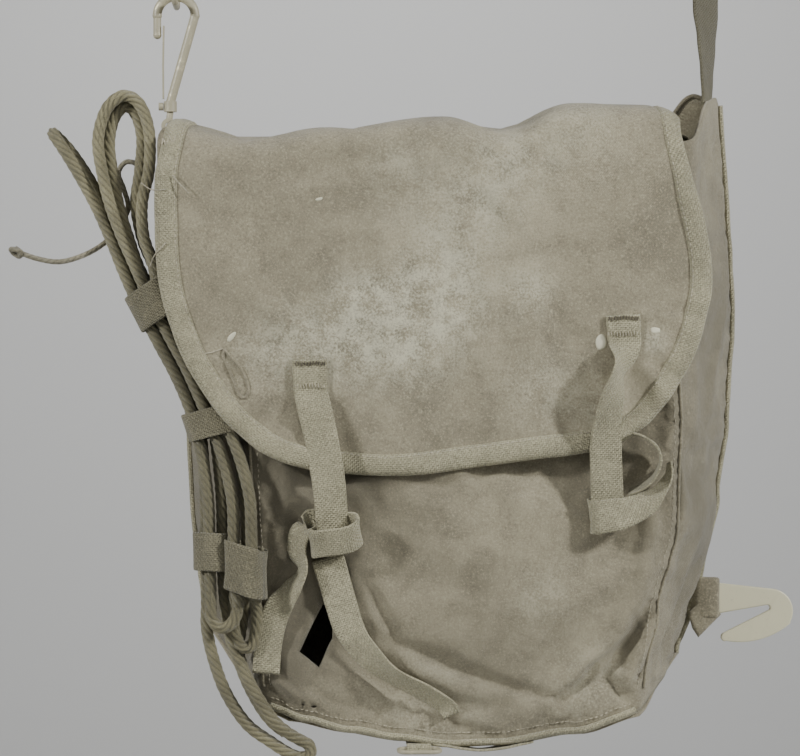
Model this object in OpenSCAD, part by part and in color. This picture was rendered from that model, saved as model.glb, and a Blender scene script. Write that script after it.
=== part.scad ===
// Canvas rope bag: a tied flap, a shoulder strap on a snap hook, and a rope hank in keepers at its left.
// Millimetres, +Z up, +X to the wearer's right as seen from the front, the front faces -Y.
// The origin is under the crest of the shoulder strap, where a peg or a shoulder holds the bag up.

/* [Bag] */
// Height of the back panel
bag_h = 445; // [440:1:446]
// Front to back, between the panels
bag_d = 100; // [96:1:102]
// Width of the back panel at the top
back_top_w = 404; // [402:1:406]
// Width of the back panel at the bottom
back_bottom_w = 366; // [364:1:368]
// Width of the front panel at the top
front_top_w = 340; // [336:1:344]
// Width of the front panel at the bottom
front_bottom_w = 278; // [274:1:282]
// How far the front panel's top leans to the right
front_shift = 8; // [6:1:10]
// Thickness that stands for doubled canvas
cloth_t = 3; // [2.5:0.5:3]

/* [Flap] */
// Left edge of the flap, from the bag's middle
flap_left = 213; // [208:1:216]
// Right edge of the flap, from the bag's middle
flap_right = 191; // [188:1:194]
// Height of the flap's lower edge above the bag's bottom, at its left corner
flap_low = 199; // [196:1:202]
// Radius of the flap's lower corners
flap_corner_r = 120; // [110:1:122]
// Visible width of the binding tape
binding_w = 16; // [12:1:18]

/* [Tapes and strap] */
// Width of the flap straps and tie tapes
tape_w = 25; // [22:1:26]
// Thickness of the tapes
tape_t = 2; // [1.5:0.1:2]
// Width of the shoulder strap
strap_w = 32; // [28:1:34]
// Thickness of the shoulder strap
strap_t = 2.4; // [2:0.1:2.4]
// Height of the strap's crest above the bag's bottom, underside
strap_crest = 830; // [780:5:880]

/* [Rope] */
// Diameter of the laid rope
rope_d = 9; // [8:0.5:10]
// Diameter of the thin cord
cord_d = 4; // [3:0.5:4]

/* [Hardware] */
// Diameter of the snap hook's rod
rod_d = 7; // [6:0.5:7]
// Diameter of the strap ring's wire
ring_d = 5; // [4:0.5:5]
// Diameter of the corner link's wire
link_d = 2.4; // [2:0.2:2.4]
// Thickness of the flat side hook
hook_t = 4; // [3:0.5:4]

/* [Hidden] */

// Colours
CANVAS = [0.60, 0.56, 0.48];
WEBBING = [0.66, 0.62, 0.50];
ROPE = [0.58, 0.54, 0.42];
METAL = [0.72, 0.68, 0.56];
CREAM = [0.82, 0.79, 0.68];

half_d = bag_d / 2;
rear_y = half_d + cloth_t;
front_y = -half_d - cloth_t;
front_h = bag_h - 9;
gusset_h = bag_h - 5;

// The strap and the snap hook hang in a plane just behind the back panel
strap_y = rear_y + 1;
snap_y = strap_y + 4;

// The flap's sheet lies in front of the front panel, its hinge along the back panel's top edge
flap_y = front_y - 9.5;
flap_front_y = flap_y - cloth_t / 2;
trim_y = flap_front_y - tape_t;
flap_strip_left = 180;
flap_strip_right = 168;
flap_rise = 16;

// The free straps hang just clear of the trim on the flap
strap_gap = 0.7;
free_y = trim_y - strap_gap - tape_t;
fit_gap = 0.3;

function arc(c, r, a0, a1, n = 10) =
    [for (i = [0:n]) c + r * [cos(a0 + (a1 - a0) * i / n), sin(a0 + (a1 - a0) * i / n)]];

// A strip of width w along a path of 2D points
function heading(p, i) =
    let (a = p[max(i - 1, 0)], b = p[min(i + 1, len(p) - 1)]) (b - a) / norm(b - a);
function beside(p, i, s) = let (h = heading(p, i)) p[i] + s * [-h[1], h[0]];
function ribbon(p, w) = concat(
    [for (i = [0:len(p) - 1]) beside(p, i, w / 2)],
    [for (i = [len(p) - 1:-1:0]) beside(p, i, -w / 2)]);

// Half widths of the back panel, and the front panel's edges, at height z
function back_half(z) = (back_bottom_w + (back_top_w - back_bottom_w) * z / bag_h) / 2;
function front_edge(side, z) =
    side * (front_bottom_w + (front_top_w - front_bottom_w) * z / bag_h) / 2 + front_shift * z / bag_h;

module hang() { translate([0, -strap_y, -strap_crest]) children(); }

// Extrudes an outline drawn in X and Z, from y0 to y0 + t
module upright(y0, t) { translate([0, y0 + t, 0]) rotate([90, 0, 0]) linear_extrude(t) children(); }

// Extrudes an outline drawn in Y and Z, from x0 to x0 + w
module across(x0, w) { translate([x0, 0, 0]) rotate([90, 0, 90]) linear_extrude(w) children(); }

module rod(p, q, d) {
    v = q - p;
    translate(p)
        rotate([0, acos(v[2] / norm(v)), atan2(v[1], v[0])])
            cylinder(h = norm(v), d = d, $fn = 48);
}

// A ring with straight sides, drawn in X and Y
module stadium(w, d) {
    square([w - d, d], center = true);
    for (s = [-1, 1]) translate([s * (w - d) / 2, 0]) circle(d = d, $fn = 48);
}
module band(w, d, h, wall) {
    linear_extrude(h, center = true) difference() {
        stadium(w, d);
        stadium(w - 2 * wall, d - 2 * wall);
    }
}

// A closed wire drawn in X and Y, w by h between wire centres, with corner radius r
module wire_loop(w, h, r, d) {
    rod([r - w / 2, h / 2, 0], [w / 2 - r, h / 2, 0], d);
    rod([r - w / 2, -h / 2, 0], [w / 2 - r, -h / 2, 0], d);
    rod([w / 2, r - h / 2, 0], [w / 2, h / 2 - r, 0], d);
    rod([-w / 2, r - h / 2, 0], [-w / 2, h / 2 - r, 0], d);
    for (k = [0:3]) {
        sx = (k == 0 || k == 3) ? 1 : -1;
        sy = k < 2 ? 1 : -1;
        translate([sx * (w / 2 - r), sy * (h / 2 - r), 0])
            rotate([0, 0, 90 * k])
                rotate_extrude(angle = 90, $fn = 48) translate([r, 0]) circle(d = d, $fn = 32);
    }
}

// One ring of points round c across direction d, half widths a and b, turned about d
function section(c, d, a, b, n, turn = 0) =
    let (z = d / norm(d), f = abs(z[1]) > 0.9 ? [1, 0, 0] : [0, 1, 0], u = cross(f, z), x = u / norm(u),
         y = cross(z, x), p = x * cos(turn) + y * sin(turn), q = y * cos(turn) - x * sin(turn))
    [for (i = [0:n - 1]) c + a * cos(360 * i / n) * p + b * sin(360 * i / n) * q];
function along(p, i) = p[min(i + 1, len(p) - 1)] - p[max(i - 1, 0)];

// Closes a row of rings into one solid
module skin(rings) {
    n = len(rings[0]);
    last = len(rings) - 1;
    foot = [for (j = [0:n - 1]) j];
    head = [for (j = [n - 1:-1:0]) last * n + j];
    walls = [for (i = [0:last - 1], j = [0:n - 1])
        let (a = i * n + j, b = i * n + (j + 1) % n) each [[a, a + n, b + n], [a, b + n, b]]];
    polyhedron(points = [for (r = rings) each r], faces = concat([foot], walls, [head]));
}
module tube(p, d, n = 10) {
    skin([for (i = [0:len(p) - 1]) section(p[i], along(p, i), d / 2, d / 2, n)]);
}

// Routes of the rope and the cord, as points chosen by hand
HANK = [[-164, -63, 106], [-165, -61, 145], [-166, -57, 180], [-172, -45, 215], [-181, -42, 245],
        [-194, -42, 275], [-210, -41, 305], [-229, -41, 342]];
HANK_HALF = [[25, 9], [26, 9], [26, 9], [22, 10], [18, 10], [15, 12], [15, 12], [16, 12]];
HANK_TURN = -20;
BIGHT_FRONT = [[-232, -49, 349], [-240, -49, 372], [-248, -49, 394], [-254, -48, 418], [-256, -47, 445],
               [-250, -46, 466], [-237, -46, 477], [-225, -46, 468], [-219, -47, 446], [-224, -48, 420],
               [-230, -49, 396], [-228, -49, 372], [-221, -49, 354]];
BIGHT_REAR = [[-232, -38, 349], [-240, -38, 372], [-245, -38, 394], [-246, -37, 418], [-246, -36, 442],
              [-242, -36, 458], [-235, -36, 464], [-228, -36, 457], [-225, -37, 442], [-227, -38, 420],
              [-230, -38, 396], [-228, -38, 372], [-221, -38, 354]];
BIGHT_EDGE = [[-242, -44, 346], [-251, -44, 369], [-262, -44, 394], [-275, -45, 418], [-286, -45, 436],
              [-293, -40, 446], [-292, -33, 446], [-282, -28, 435], [-269, -29, 416], [-256, -30, 392],
              [-247, -32, 368], [-241, -33, 346]];
BIGHT_LONG = [[-181, -58, 103], [-181, -58, 85], [-176, -58, 62], [-167, -59, 38], [-152, -63, 16],
              [-134, -67, 3], [-117, -68, -6], [-108, -69, -2], [-112, -69, 8], [-124, -68, 20],
              [-139, -66, 34], [-149, -63, 47], [-157, -54, 58], [-158, -49, 70], [-156, -48, 86],
              [-154, -50, 103]];
BIGHT_SMALL_LEFT = [[-178, -70, 103], [-177, -70, 93], [-170, -70, 87], [-162, -70, 91], [-158, -70, 103]];
BIGHT_SMALL_RIGHT = [[-161, -60, 102], [-161, -60, 84], [-156, -60, 73], [-149, -60, 72], [-145, -60, 84],
                     [-145, -60, 102]];
CORD = [[-319, -42, 360], [-304, -43, 355], [-288, -43, 353], [-271, -40, 358], [-257, -30, 367],
        [-247, -21, 379], [-240, -20, 393], [-243, -20, 407], [-247, -20, 419], [-242, -21, 427],
        [-234, -22, 426], [-227, -24, 418]];

// Bag panels
module back_panel() hang() color(CANVAS)
    upright(half_d, cloth_t)
        polygon([[-back_half(0), 0], [back_half(0), 0],
                 [back_half(bag_h), bag_h], [-back_half(bag_h), bag_h]]);

// The front panel has an old tear low on its left
tear_at = [-100, 78];
tear_lean = 28;
tear_w = 20;
tear_h = 38;
module front_panel() hang() color(CANVAS)
    difference() {
        upright(front_y, cloth_t)
            polygon([[front_edge(-1, 0), 0], [front_edge(1, 0), 0],
                     [front_edge(1, front_h), front_h], [front_edge(-1, front_h), front_h]]);
        translate([tear_at[0], front_y + cloth_t / 2, tear_at[1]])
            rotate([0, tear_lean, 0]) cube([tear_w, 3 * cloth_t, tear_h], center = true);
    }

// A side panel between the front and back panels' edges
module gusset(side) {
    nib = 0.5;
    hull() for (z = [0, gusset_h - nib]) {
        outer_front = front_edge(side, z);
        outer_back = side * back_half(z);
        translate([outer_front - (side > 0 ? cloth_t : 0), -half_d, z]) cube([cloth_t, nib, nib]);
        translate([outer_back - (side > 0 ? cloth_t : 0), half_d - nib, z]) cube([cloth_t, nib, nib]);
    }
}
module left_gusset() hang() color(CANVAS) gusset(-1);
module right_gusset() hang() color(CANVAS) gusset(1);

module bottom_panel() hang() color(CANVAS) {
    inset = cloth_t + 1.5;
    linear_extrude(cloth_t)
        polygon([[front_edge(-1, 0) + inset, -half_d], [front_edge(1, 0) - inset, -half_d],
                 [back_half(0) - inset, half_d], [inset - back_half(0), half_d]]);
}

// The doubled edge inside the mouth of the front panel
module mouth_hem() hang() color(CANVAS) {
    inset = cloth_t + 3;
    foot = front_h - 12;
    left = front_edge(-1, front_h) + inset;
    upright(-half_d, 2)
        polygon([[left, foot], [front_edge(1, foot) - inset, foot],
                 [front_edge(1, front_h) - inset, front_h], [left, front_h]]);
}

// The rolled seam along the foot of the front panel
hem_d = 6;
module bottom_hem() hang() color(WEBBING) {
    inset = hem_d / 2;
    y = front_y - hem_d / 2 - fit_gap;
    rod([front_edge(-1, 0) + inset, y, hem_d / 2], [front_edge(1, 0) - inset, y, hem_d / 2], hem_d);
}

// The piping down each rear seam
piping_d = 4;
module piping(side) {
    gap = piping_d / 2 + fit_gap;
    y = rear_y - piping_d / 2 - 0.2;
    top = bag_h - 20;
    rod([side * (back_half(5) + gap), y, 5], [side * (back_half(top) + gap), y, top], piping_d);
}
module left_seam_piping() hang() color(WEBBING) piping(-1);
module right_seam_piping() hang() color(WEBBING) piping(1);

// Shoulder strap, snap hook and corner link
link_x = -213;
link_top = 458.3;
link_bottom = 446.6;
link_w = 22;
link_eye_r = 3;
tab_hole_z = 445;
tab_w = 18;
tab_h = 22;
module corner_tab() hang() color(CANVAS)
    difference() {
        translate([link_x - 6, half_d, tab_hole_z + 7 - tab_h]) cube([tab_w, cloth_t, tab_h]);
        translate([link_x, half_d - 1, tab_hole_z])
            rotate([-90, 0, 0]) cylinder(h = cloth_t + 2, r = link_eye_r, $fn = 48);
        // Clear of the back panel's edge
        translate([-back_half(bag_h) - fit_gap, half_d - 1, 0]) cube([tab_w, cloth_t + 2, bag_h + 20]);
    }

module corner_link() hang() color(METAL) {
    h = link_top - link_bottom;
    translate([link_x, (half_d + snap_y) / 2 + 1, (link_top + link_bottom) / 2])
        rotate([90, 0, 90]) wire_loop(link_w, h, h / 2 - 0.01, link_d);
}

ring_x = -207.5;
ring_z = 566;
ring_w = 40;
ring_h = 26;
leg_z = 600;
leg_x = 197;
fold_r = 4;
arch_rise = strap_crest + strap_t / 2 - leg_z;
arch_left = -(ring_x + fold_r);
fold_z = ring_z + ring_h / 2;
layer = strap_t + 0.6;
strap_foot = bag_h + 10;
strap_path = concat(
    [[leg_x, strap_foot], [leg_x, (bag_h + leg_z) / 2]],
    [for (a = [0:6:90]) [leg_x * cos(a), leg_z + arch_rise * sin(a)]],
    [for (a = [96:6:180]) [arch_left * cos(a), leg_z + arch_rise * sin(a)]],
    [[ring_x + fold_r, fold_z + 10]],
    arc([ring_x, fold_z], fold_r, 0, -180, 8),
    [[ring_x - fold_r, fold_z + 6], [-arch_left - layer - 0.6, leg_z - 6], [-arch_left - layer, leg_z + 4],
     [-arch_left - layer + 0.8, leg_z + 22]]);
module shoulder_strap() hang() color(WEBBING)
    upright(strap_y - strap_w / 2, strap_w) polygon(ribbon(strap_path, strap_t));

anchor_w = 18;
anchor_h = 70;
anchor_t = 2.8;
module strap_anchor() hang() color(WEBBING)
    translate([leg_x - anchor_w - 3, half_d - anchor_t, strap_foot - fit_gap - anchor_h])
        cube([anchor_w, anchor_t - fit_gap, anchor_h]);

module strap_end_ring() hang() color(METAL)
    translate([ring_x, strap_y, ring_z]) rotate([90, 0, 90]) wire_loop(ring_w, ring_h, 4, ring_d);

collar = [-212, snap_y, 475];
bow_c = [ring_x, snap_y, 545];
bow_r = 14.5;
nose = [bow_c[0] - bow_r, snap_y, 530];
nose_d = 6;
knuckle = 0.4;
eye_z = 460;
eye_t = 5;
module snap_hook_body() hang() color(METAL) {
    // Eye for the corner link
    translate([link_x, snap_y - eye_t / 2, eye_z]) rotate([-90, 0, 0]) difference() {
        cylinder(h = eye_t, r = 6, $fn = 64);
        translate([0, 0, -1]) cylinder(h = eye_t + 2, r = link_eye_r, $fn = 48);
    }
    rod([link_x, snap_y, eye_z + 4.5], [collar[0], snap_y, collar[2] - 3], 5);
    translate(collar - [0, 0, 4]) cylinder(h = 8, d = 10, $fn = 48);
    // Shank, bow and nose
    rod(collar + [0, 0, 3], bow_c + [bow_r, 0, 0], rod_d);
    translate(bow_c + [bow_r, 0, 0]) sphere(d = rod_d + knuckle, $fn = 48);
    translate(bow_c) rotate([90, 0, 0])
        rotate_extrude(angle = 180, $fn = 64) translate([bow_r, 0]) circle(d = rod_d, $fn = 48);
    translate(bow_c - [bow_r, 0, 0]) sphere(d = rod_d + knuckle, $fn = 48);
    rod(bow_c - [bow_r, 0, 0], nose, nose_d);
    translate(nose) sphere(d = nose_d + knuckle, $fn = 48);
}

module snap_rivet() hang() color(METAL)
    rod(collar + [-5 - fit_gap, 0, 0], collar + [-9, 0, 0], 6);

gate_x = -217.4;
gate_z = 481;
gate_t = 1.2;
gate_w = 6;
gate_path = [[gate_x, gate_z], [gate_x - 0.2, gate_z + 25], [gate_x + 0.4, gate_z + 56]];
module snap_gate() hang() color(METAL)
    upright(snap_y - gate_w / 2, gate_w) polygon(ribbon(gate_path, gate_t));

// Flap
strip_drop = [[rear_y - 1, bag_h + 4.5], [rear_y - 16, bag_h + 8], [8, bag_h + 12],
              [-24, bag_h + 12.5], [-46, bag_h + 9], [-57, bag_h + 3], [-61.5, bag_h - 6],
              [flap_y, bag_h - 18], [flap_y, flap_low]];
fold_low = bag_h - 5;

// Outline of the hanging flap, drawn in by inset
function flap_outline(inset) =
    let (left_c = [-flap_left + flap_corner_r, flap_low + flap_corner_r],
         right_c = [flap_right - flap_corner_r, flap_low + flap_corner_r + flap_rise],
         r = flap_corner_r - inset)
    concat([[5 - flap_left + inset, fold_low]], arc(left_c, r, 180, 270, 14), arc(right_c, r, 270, 360, 14),
           [[flap_right - 3 - inset, bag_h - 85], [flap_strip_right + 4 - inset, fold_low]]);

module flap_canvas() hang() color(CANVAS)
    intersection() {
        across(-flap_left - 5, flap_left + flap_right + 10) polygon(ribbon(strip_drop, cloth_t));
        translate([0, -100, 0]) union() {
            upright(0, 200) polygon(flap_outline(0));
            upright(0, 200) translate([-flap_strip_left, fold_low - 10])
                square([flap_strip_left + flap_strip_right, 60]);
        }
    }

module flap_binding() hang() color(WEBBING)
    upright(trim_y, tape_t) difference() {
        polygon(flap_outline(0));
        intersection() {
            polygon(flap_outline(binding_w));
            translate([-300, 0]) square([600, 600]);
        }
        translate([-300, bag_h - 18]) square([600, 60]);
    }

// Flap straps and their knots
left_top = [-106, 256];
right_top = [123, 289];
base_h = 24;
strap_start = [0, 2];
module strap_base(top) {
    translate([top[0] - tape_w / 2, trim_y, top[1] + 1]) cube([tape_w, tape_t, base_h]);
}
module strap_base_left() hang() color(WEBBING) strap_base(left_top);
module strap_base_right() hang() color(WEBBING) strap_base(right_top);

module flat_tape(p, w, y) { upright(y, tape_t) polygon(ribbon(p, w)); }
module flap_strap_left() hang() color(WEBBING)
    flat_tape([left_top - strap_start, [-98, 205], [-90, 152]], tape_w, free_y);
module flap_strap_right() hang() color(WEBBING)
    flat_tape([right_top - strap_start, [120, 235], [117, 172]], tape_w, free_y);

knot_y = free_y + tape_t / 2;
knot_wall = 2;
module strap_knot_left() hang() color(WEBBING)
    translate([-85, knot_y, 149]) rotate([0, -22, 0]) band(44, 16, 22, knot_wall);
module strap_tail_left() hang() color(WEBBING)
    flat_tape([[-115, 138], [-121, 108], [-136, 54]], 18, front_y - 6);

module strap_band_right() hang() color(WEBBING)
    translate([131, knot_y, 176]) rotate([0, -8, 0]) band(62, 14, 24, knot_wall);
loop_depth = 16;
loop_path = [[134, 195], [141, 197], [148, 203], [150, 212], [147, 220], [140, 225], [134, 226]];
module strap_loop_right() hang() color(WEBBING)
    upright(knot_y - loop_depth / 2, loop_depth) polygon(ribbon(loop_path, tape_t));

tie_y = front_y - 5;
tie_foot = [0, 30];
module tie_tape() hang() color(WEBBING)
    flat_tape([[-87, 125], [-74, 92], [-45, 57], tie_foot], 22, tie_y);
module tie_tape_anchor() hang() color(WEBBING)
    translate([-8, front_y - tape_t - 0.1, 8]) cube([24, tape_t, 20]);

// Rope hank and its keepers
module rope_hank() hang() color(ROPE)
    skin([for (i = [0:len(HANK) - 1])
        section(HANK[i], along(HANK, i), HANK_HALF[i][0], HANK_HALF[i][1], 12, HANK_TURN)]);

keeper_wall = 1.4;
keeper_gap = 1.4;

// A band round the hank, at share f of the way from point i to the next, h tall
module keeper(i, f, h) {
    v = along([HANK[i], HANK[i + 1]], 0);
    half = (1 - f) * HANK_HALF[i] + f * HANK_HALF[i + 1];
    grow = 2 * (keeper_wall + keeper_gap);
    translate(HANK[i] + f * v)
        rotate([0, atan2(v[0], v[2]), 0])
            rotate([-asin(v[1] / norm(v)), 0, 0])
                rotate([0, 0, HANK_TURN])
                    band(2 * half[0] + grow, 2 * half[1] + grow, h, keeper_wall);
}
module hank_keeper_upper() hang() color(WEBBING) keeper(6, 0.5, 28);
module hank_keeper_middle() hang() color(WEBBING) keeper(3, 0.66, 19);
module hank_keeper_lower_left() hang() color(WEBBING) keeper(1, 0.1, 22);
module hank_keeper_lower_right() hang() color(WEBBING) keeper(0, 0.4, 22);

module rope_bight_front() hang() color(ROPE) tube(BIGHT_FRONT, rope_d);
module rope_bight_rear() hang() color(ROPE) tube(BIGHT_REAR, rope_d);
module rope_bight_edge() hang() color(ROPE) tube(BIGHT_EDGE, rope_d);
module rope_bight_long() hang() color(ROPE) tube(BIGHT_LONG, rope_d);
module rope_bight_small_left() hang() color(ROPE) tube(BIGHT_SMALL_LEFT, rope_d);
module rope_bight_small_right() hang() color(ROPE) tube(BIGHT_SMALL_RIGHT, rope_d);
module thin_cord() hang() color(ROPE) tube(CORD, cord_d, 8);
module thin_cord_knot() hang() color(ROPE)
    translate(CORD[0] - [2 * cord_d - 3.5, 0, -1]) sphere(d = 2 * cord_d, $fn = 32);

// Side hook, in a sleeve that folds at its stub
hook_y = 45;
stub_x = 187.4;
stub_t = 2.6;
sleeve_x = 196.9;
sleeve_end = 206.5;
hook_head = [248, 89];
hook_head_r = 18;
hook_sweep = [222, 124];
hook_sweep_r = 61;
hook_tip = [214, 67.1];
hook_throat = [245, 91.5];
hook_root = sleeve_x + 2;
module side_hook() hang() color(CREAM)
    upright(hook_y - hook_t / 2, hook_t)
        polygon(concat(
            [[hook_root, 109]], arc(hook_head, hook_head_r, 84, -24),
            arc(hook_sweep, hook_sweep_r, -46, -97), arc(hook_tip, 3.6, 262, 110, 8),
            arc(hook_throat, 2.2, -60, 105, 8), [[hook_root, 83]]));

sleeve_wall = 2;
sleeve_z = 80;
sleeve_h = 32;
module side_hook_sleeve() hang() color(WEBBING) {
    inner = hook_t + 2 * fit_gap;
    translate([sleeve_x, hook_y - inner / 2 - sleeve_wall, sleeve_z]) difference() {
        cube([sleeve_end - sleeve_x, inner + 2 * sleeve_wall, sleeve_h]);
        translate([hook_root - sleeve_x - fit_gap, sleeve_wall, sleeve_wall])
            cube([sleeve_end, inner, sleeve_h - 2 * sleeve_wall]);
    }
}
module side_hook_fold() hang() color(WEBBING) {
    top = sleeve_z - fit_gap;
    upright(hook_y - hook_t / 2 - sleeve_wall, 2 * sleeve_wall)
        polygon([[sleeve_x, top], [sleeve_end, top], [sleeve_x + 4, 67], [sleeve_x, 70]]);
}
module side_hook_stub() hang() color(WEBBING)
    translate([stub_x, hook_y - 2, sleeve_z - 9]) cube([stub_t, 4, sleeve_h + 8]);

// Bottom tab, ring and loop
bar_y = front_y - 3;
bar_z = -4;
bar_d = 3;
tab_t = 1.6;
tab_r = (bar_d + tab_t) / 2 + 0.4;
module bottom_ring() hang() color(METAL)
    translate([-26, bar_y - 9, bar_z]) wire_loop(30, 18, 6, bar_d);
module bottom_tab() hang() color(WEBBING)
    across(-35, 18)
        polygon(ribbon(concat([[-44, bar_z + tab_r]], arc([bar_y, bar_z], tab_r, 90, 270, 8),
                              [[-44, bar_z - tab_r]]), tab_t));
module bottom_loop() hang() color(WEBBING)
    upright(front_y - 2, 22)
        polygon(ribbon([[-11, -1.3], [2, -4], [18, -6], [34, -4], [47, -1.3]], tape_t));

back_panel();
front_panel();
left_gusset();
right_gusset();
bottom_panel();
mouth_hem();
bottom_hem();
left_seam_piping();
right_seam_piping();
corner_tab();
corner_link();
shoulder_strap();
strap_anchor();
strap_end_ring();
snap_hook_body();
snap_rivet();
snap_gate();
flap_canvas();
flap_binding();
strap_base_left();
strap_base_right();
flap_strap_left();
strap_knot_left();
strap_tail_left();
flap_strap_right();
strap_band_right();
strap_loop_right();
tie_tape();
tie_tape_anchor();
hank_keeper_upper();
hank_keeper_middle();
hank_keeper_lower_left();
hank_keeper_lower_right();
rope_hank();
rope_bight_front();
rope_bight_rear();
rope_bight_edge();
rope_bight_long();
rope_bight_small_left();
rope_bight_small_right();
thin_cord();
thin_cord_knot();
side_hook();
side_hook_sleeve();
side_hook_fold();
side_hook_stub();
bottom_tab();
bottom_loop();
bottom_ring();
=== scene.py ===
"""The canvas rope bag's looks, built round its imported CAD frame.

Points are given in millimetres from the middle of the bag's bottom, as in the CAD source,
and bag() puts them in the frame that the whole part shares.
"""

import math

import bmesh
import bpy
import numpy as np
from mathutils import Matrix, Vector, geometry, noise
from mathutils.bvhtree import BVHTree


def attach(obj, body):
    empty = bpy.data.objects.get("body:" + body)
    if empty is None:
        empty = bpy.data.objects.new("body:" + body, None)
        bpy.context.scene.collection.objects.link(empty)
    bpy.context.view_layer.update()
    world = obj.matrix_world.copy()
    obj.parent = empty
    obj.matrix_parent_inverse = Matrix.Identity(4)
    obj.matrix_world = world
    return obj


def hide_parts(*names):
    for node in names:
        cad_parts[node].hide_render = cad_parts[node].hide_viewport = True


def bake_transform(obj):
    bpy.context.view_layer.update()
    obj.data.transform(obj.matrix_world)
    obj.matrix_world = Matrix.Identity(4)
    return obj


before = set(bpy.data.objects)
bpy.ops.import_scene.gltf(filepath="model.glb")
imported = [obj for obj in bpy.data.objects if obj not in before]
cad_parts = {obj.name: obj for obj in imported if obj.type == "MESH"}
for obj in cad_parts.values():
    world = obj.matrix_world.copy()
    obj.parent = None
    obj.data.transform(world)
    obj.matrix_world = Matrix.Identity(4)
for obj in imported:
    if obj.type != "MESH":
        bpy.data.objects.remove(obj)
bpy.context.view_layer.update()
scene = bpy.context.scene

# Driving sizes, as in the CAD source
STRAP_Y = 54
STRAP_CREST = 830
BAG_H = 445
ROPE_D = 9
CORD_D = 4
TAPE_T = 1.8
CANVAS_T = 1.8
FLAP_Y = -62.5

# The front panel's half width at the foot, how much each side flares and how far it drifts right by the mouth
FRONT_HALF_W = 139
FRONT_FLARE = 31
FRONT_DRIFT = 8

# How far the right front corner has been pushed outward at each height
CORNER_PUSH = [(50, 0), (100, 4), (160, 13), (215, 10), (300, 3), (400, 0)]


def bag(x, y, z):
    """A point in millimetres from the bag's bottom, in the shared frame."""
    return Vector((x, y - STRAP_Y, z - STRAP_CREST)) / 1000


def front_edge(side, z):
    """Where the front panel meets a side panel; side is -1 on the left and 1 on the right."""
    pushed = table(CORNER_PUSH, z) if side > 0 else 0
    return side * (FRONT_HALF_W + FRONT_FLARE * z / BAG_H) + FRONT_DRIFT * z / BAG_H + pushed


# ---------------------------------------------------------------- camera and light


def add_camera():
    """A long lens almost straight in front of the bag, a little to its left and above."""
    reach = 1.9
    seen_width = 0.584
    rise = 0.02
    target = bag(-40, -60, 268)
    turn = math.radians(-2.5)
    data = bpy.data.cameras.new("camera")
    data.sensor_width = 36
    data.lens = data.sensor_width * reach / seen_width
    camera = bpy.data.objects.new("camera", data)
    scene.collection.objects.link(camera)
    camera.location = target + Vector((math.sin(turn), -math.cos(turn), rise)) * reach
    camera.rotation_euler = (target - camera.location).to_track_quat("-Z", "Y").to_euler()
    scene.camera = camera


def add_area_light(name, place, power, size, aim):
    data = bpy.data.lights.new(name, "AREA")
    data.energy = power
    data.size = size
    light = bpy.data.objects.new(name, data)
    light.location = place
    light.rotation_euler = (Vector(aim) - Vector(place)).to_track_quat("-Z", "Y").to_euler()
    scene.collection.objects.link(light)


def add_studio():
    """Soft lamps round the bag, a pale floor and wall, and the peg that the strap hangs on."""
    middle = bag(0, 0, 250)
    add_area_light("right", middle + Vector((1.75, -1.05, 1.0)), 46, 0.22, middle)
    add_area_light("left", middle + Vector((-1.75, -1.05, 0.9)), 34, 0.22, middle)
    add_area_light("front", middle + Vector((0.2, -2.2, 1.3)), 10, 1.4, middle)
    add_area_light("backdrop", middle + Vector((0, 1.6, 1.7)), 40, 1.2, middle + Vector((0, 3.4, 0)))
    world = bpy.data.worlds.new("studio")
    scene.world = world
    world.use_nodes = True
    background = world.node_tree.nodes["Background"]
    background.inputs["Color"].default_value = (0.80, 0.81, 0.83, 1)
    background.inputs["Strength"].default_value = 0.17
    plain = bpy.data.materials.new("stage_plain")
    plain.use_nodes = True
    shader = plain.node_tree.nodes["Principled BSDF"]
    shader.inputs["Base Color"].default_value = (0.62, 0.62, 0.61, 1)
    shader.inputs["Roughness"].default_value = 0.9
    floor = slab("stage_floor", bag(0, 0, -640), (14, 8, 0.01))
    wall = slab("stage_wall", bag(0, 3500, 1360), (14, 0.01, 4))
    peg = slab("stage_peg", bag(0, 54, STRAP_CREST - 8), (0.03, 0.10, 0.016))
    for obj in (floor, wall, peg):
        obj.data.materials.append(plain)


def slab(name, centre, size):
    bm = bmesh.new()
    bmesh.ops.create_cube(bm, size=1)
    bmesh.ops.scale(bm, vec=size, verts=bm.verts)
    bmesh.ops.translate(bm, vec=centre, verts=bm.verts)
    return from_bmesh(name, bm)


def from_bmesh(name, bm):
    mesh = bpy.data.meshes.new(name)
    bm.to_mesh(mesh)
    bm.free()
    obj = bpy.data.objects.new(name, mesh)
    scene.collection.objects.link(obj)
    return obj


# ---------------------------------------------------------------- materials


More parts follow.
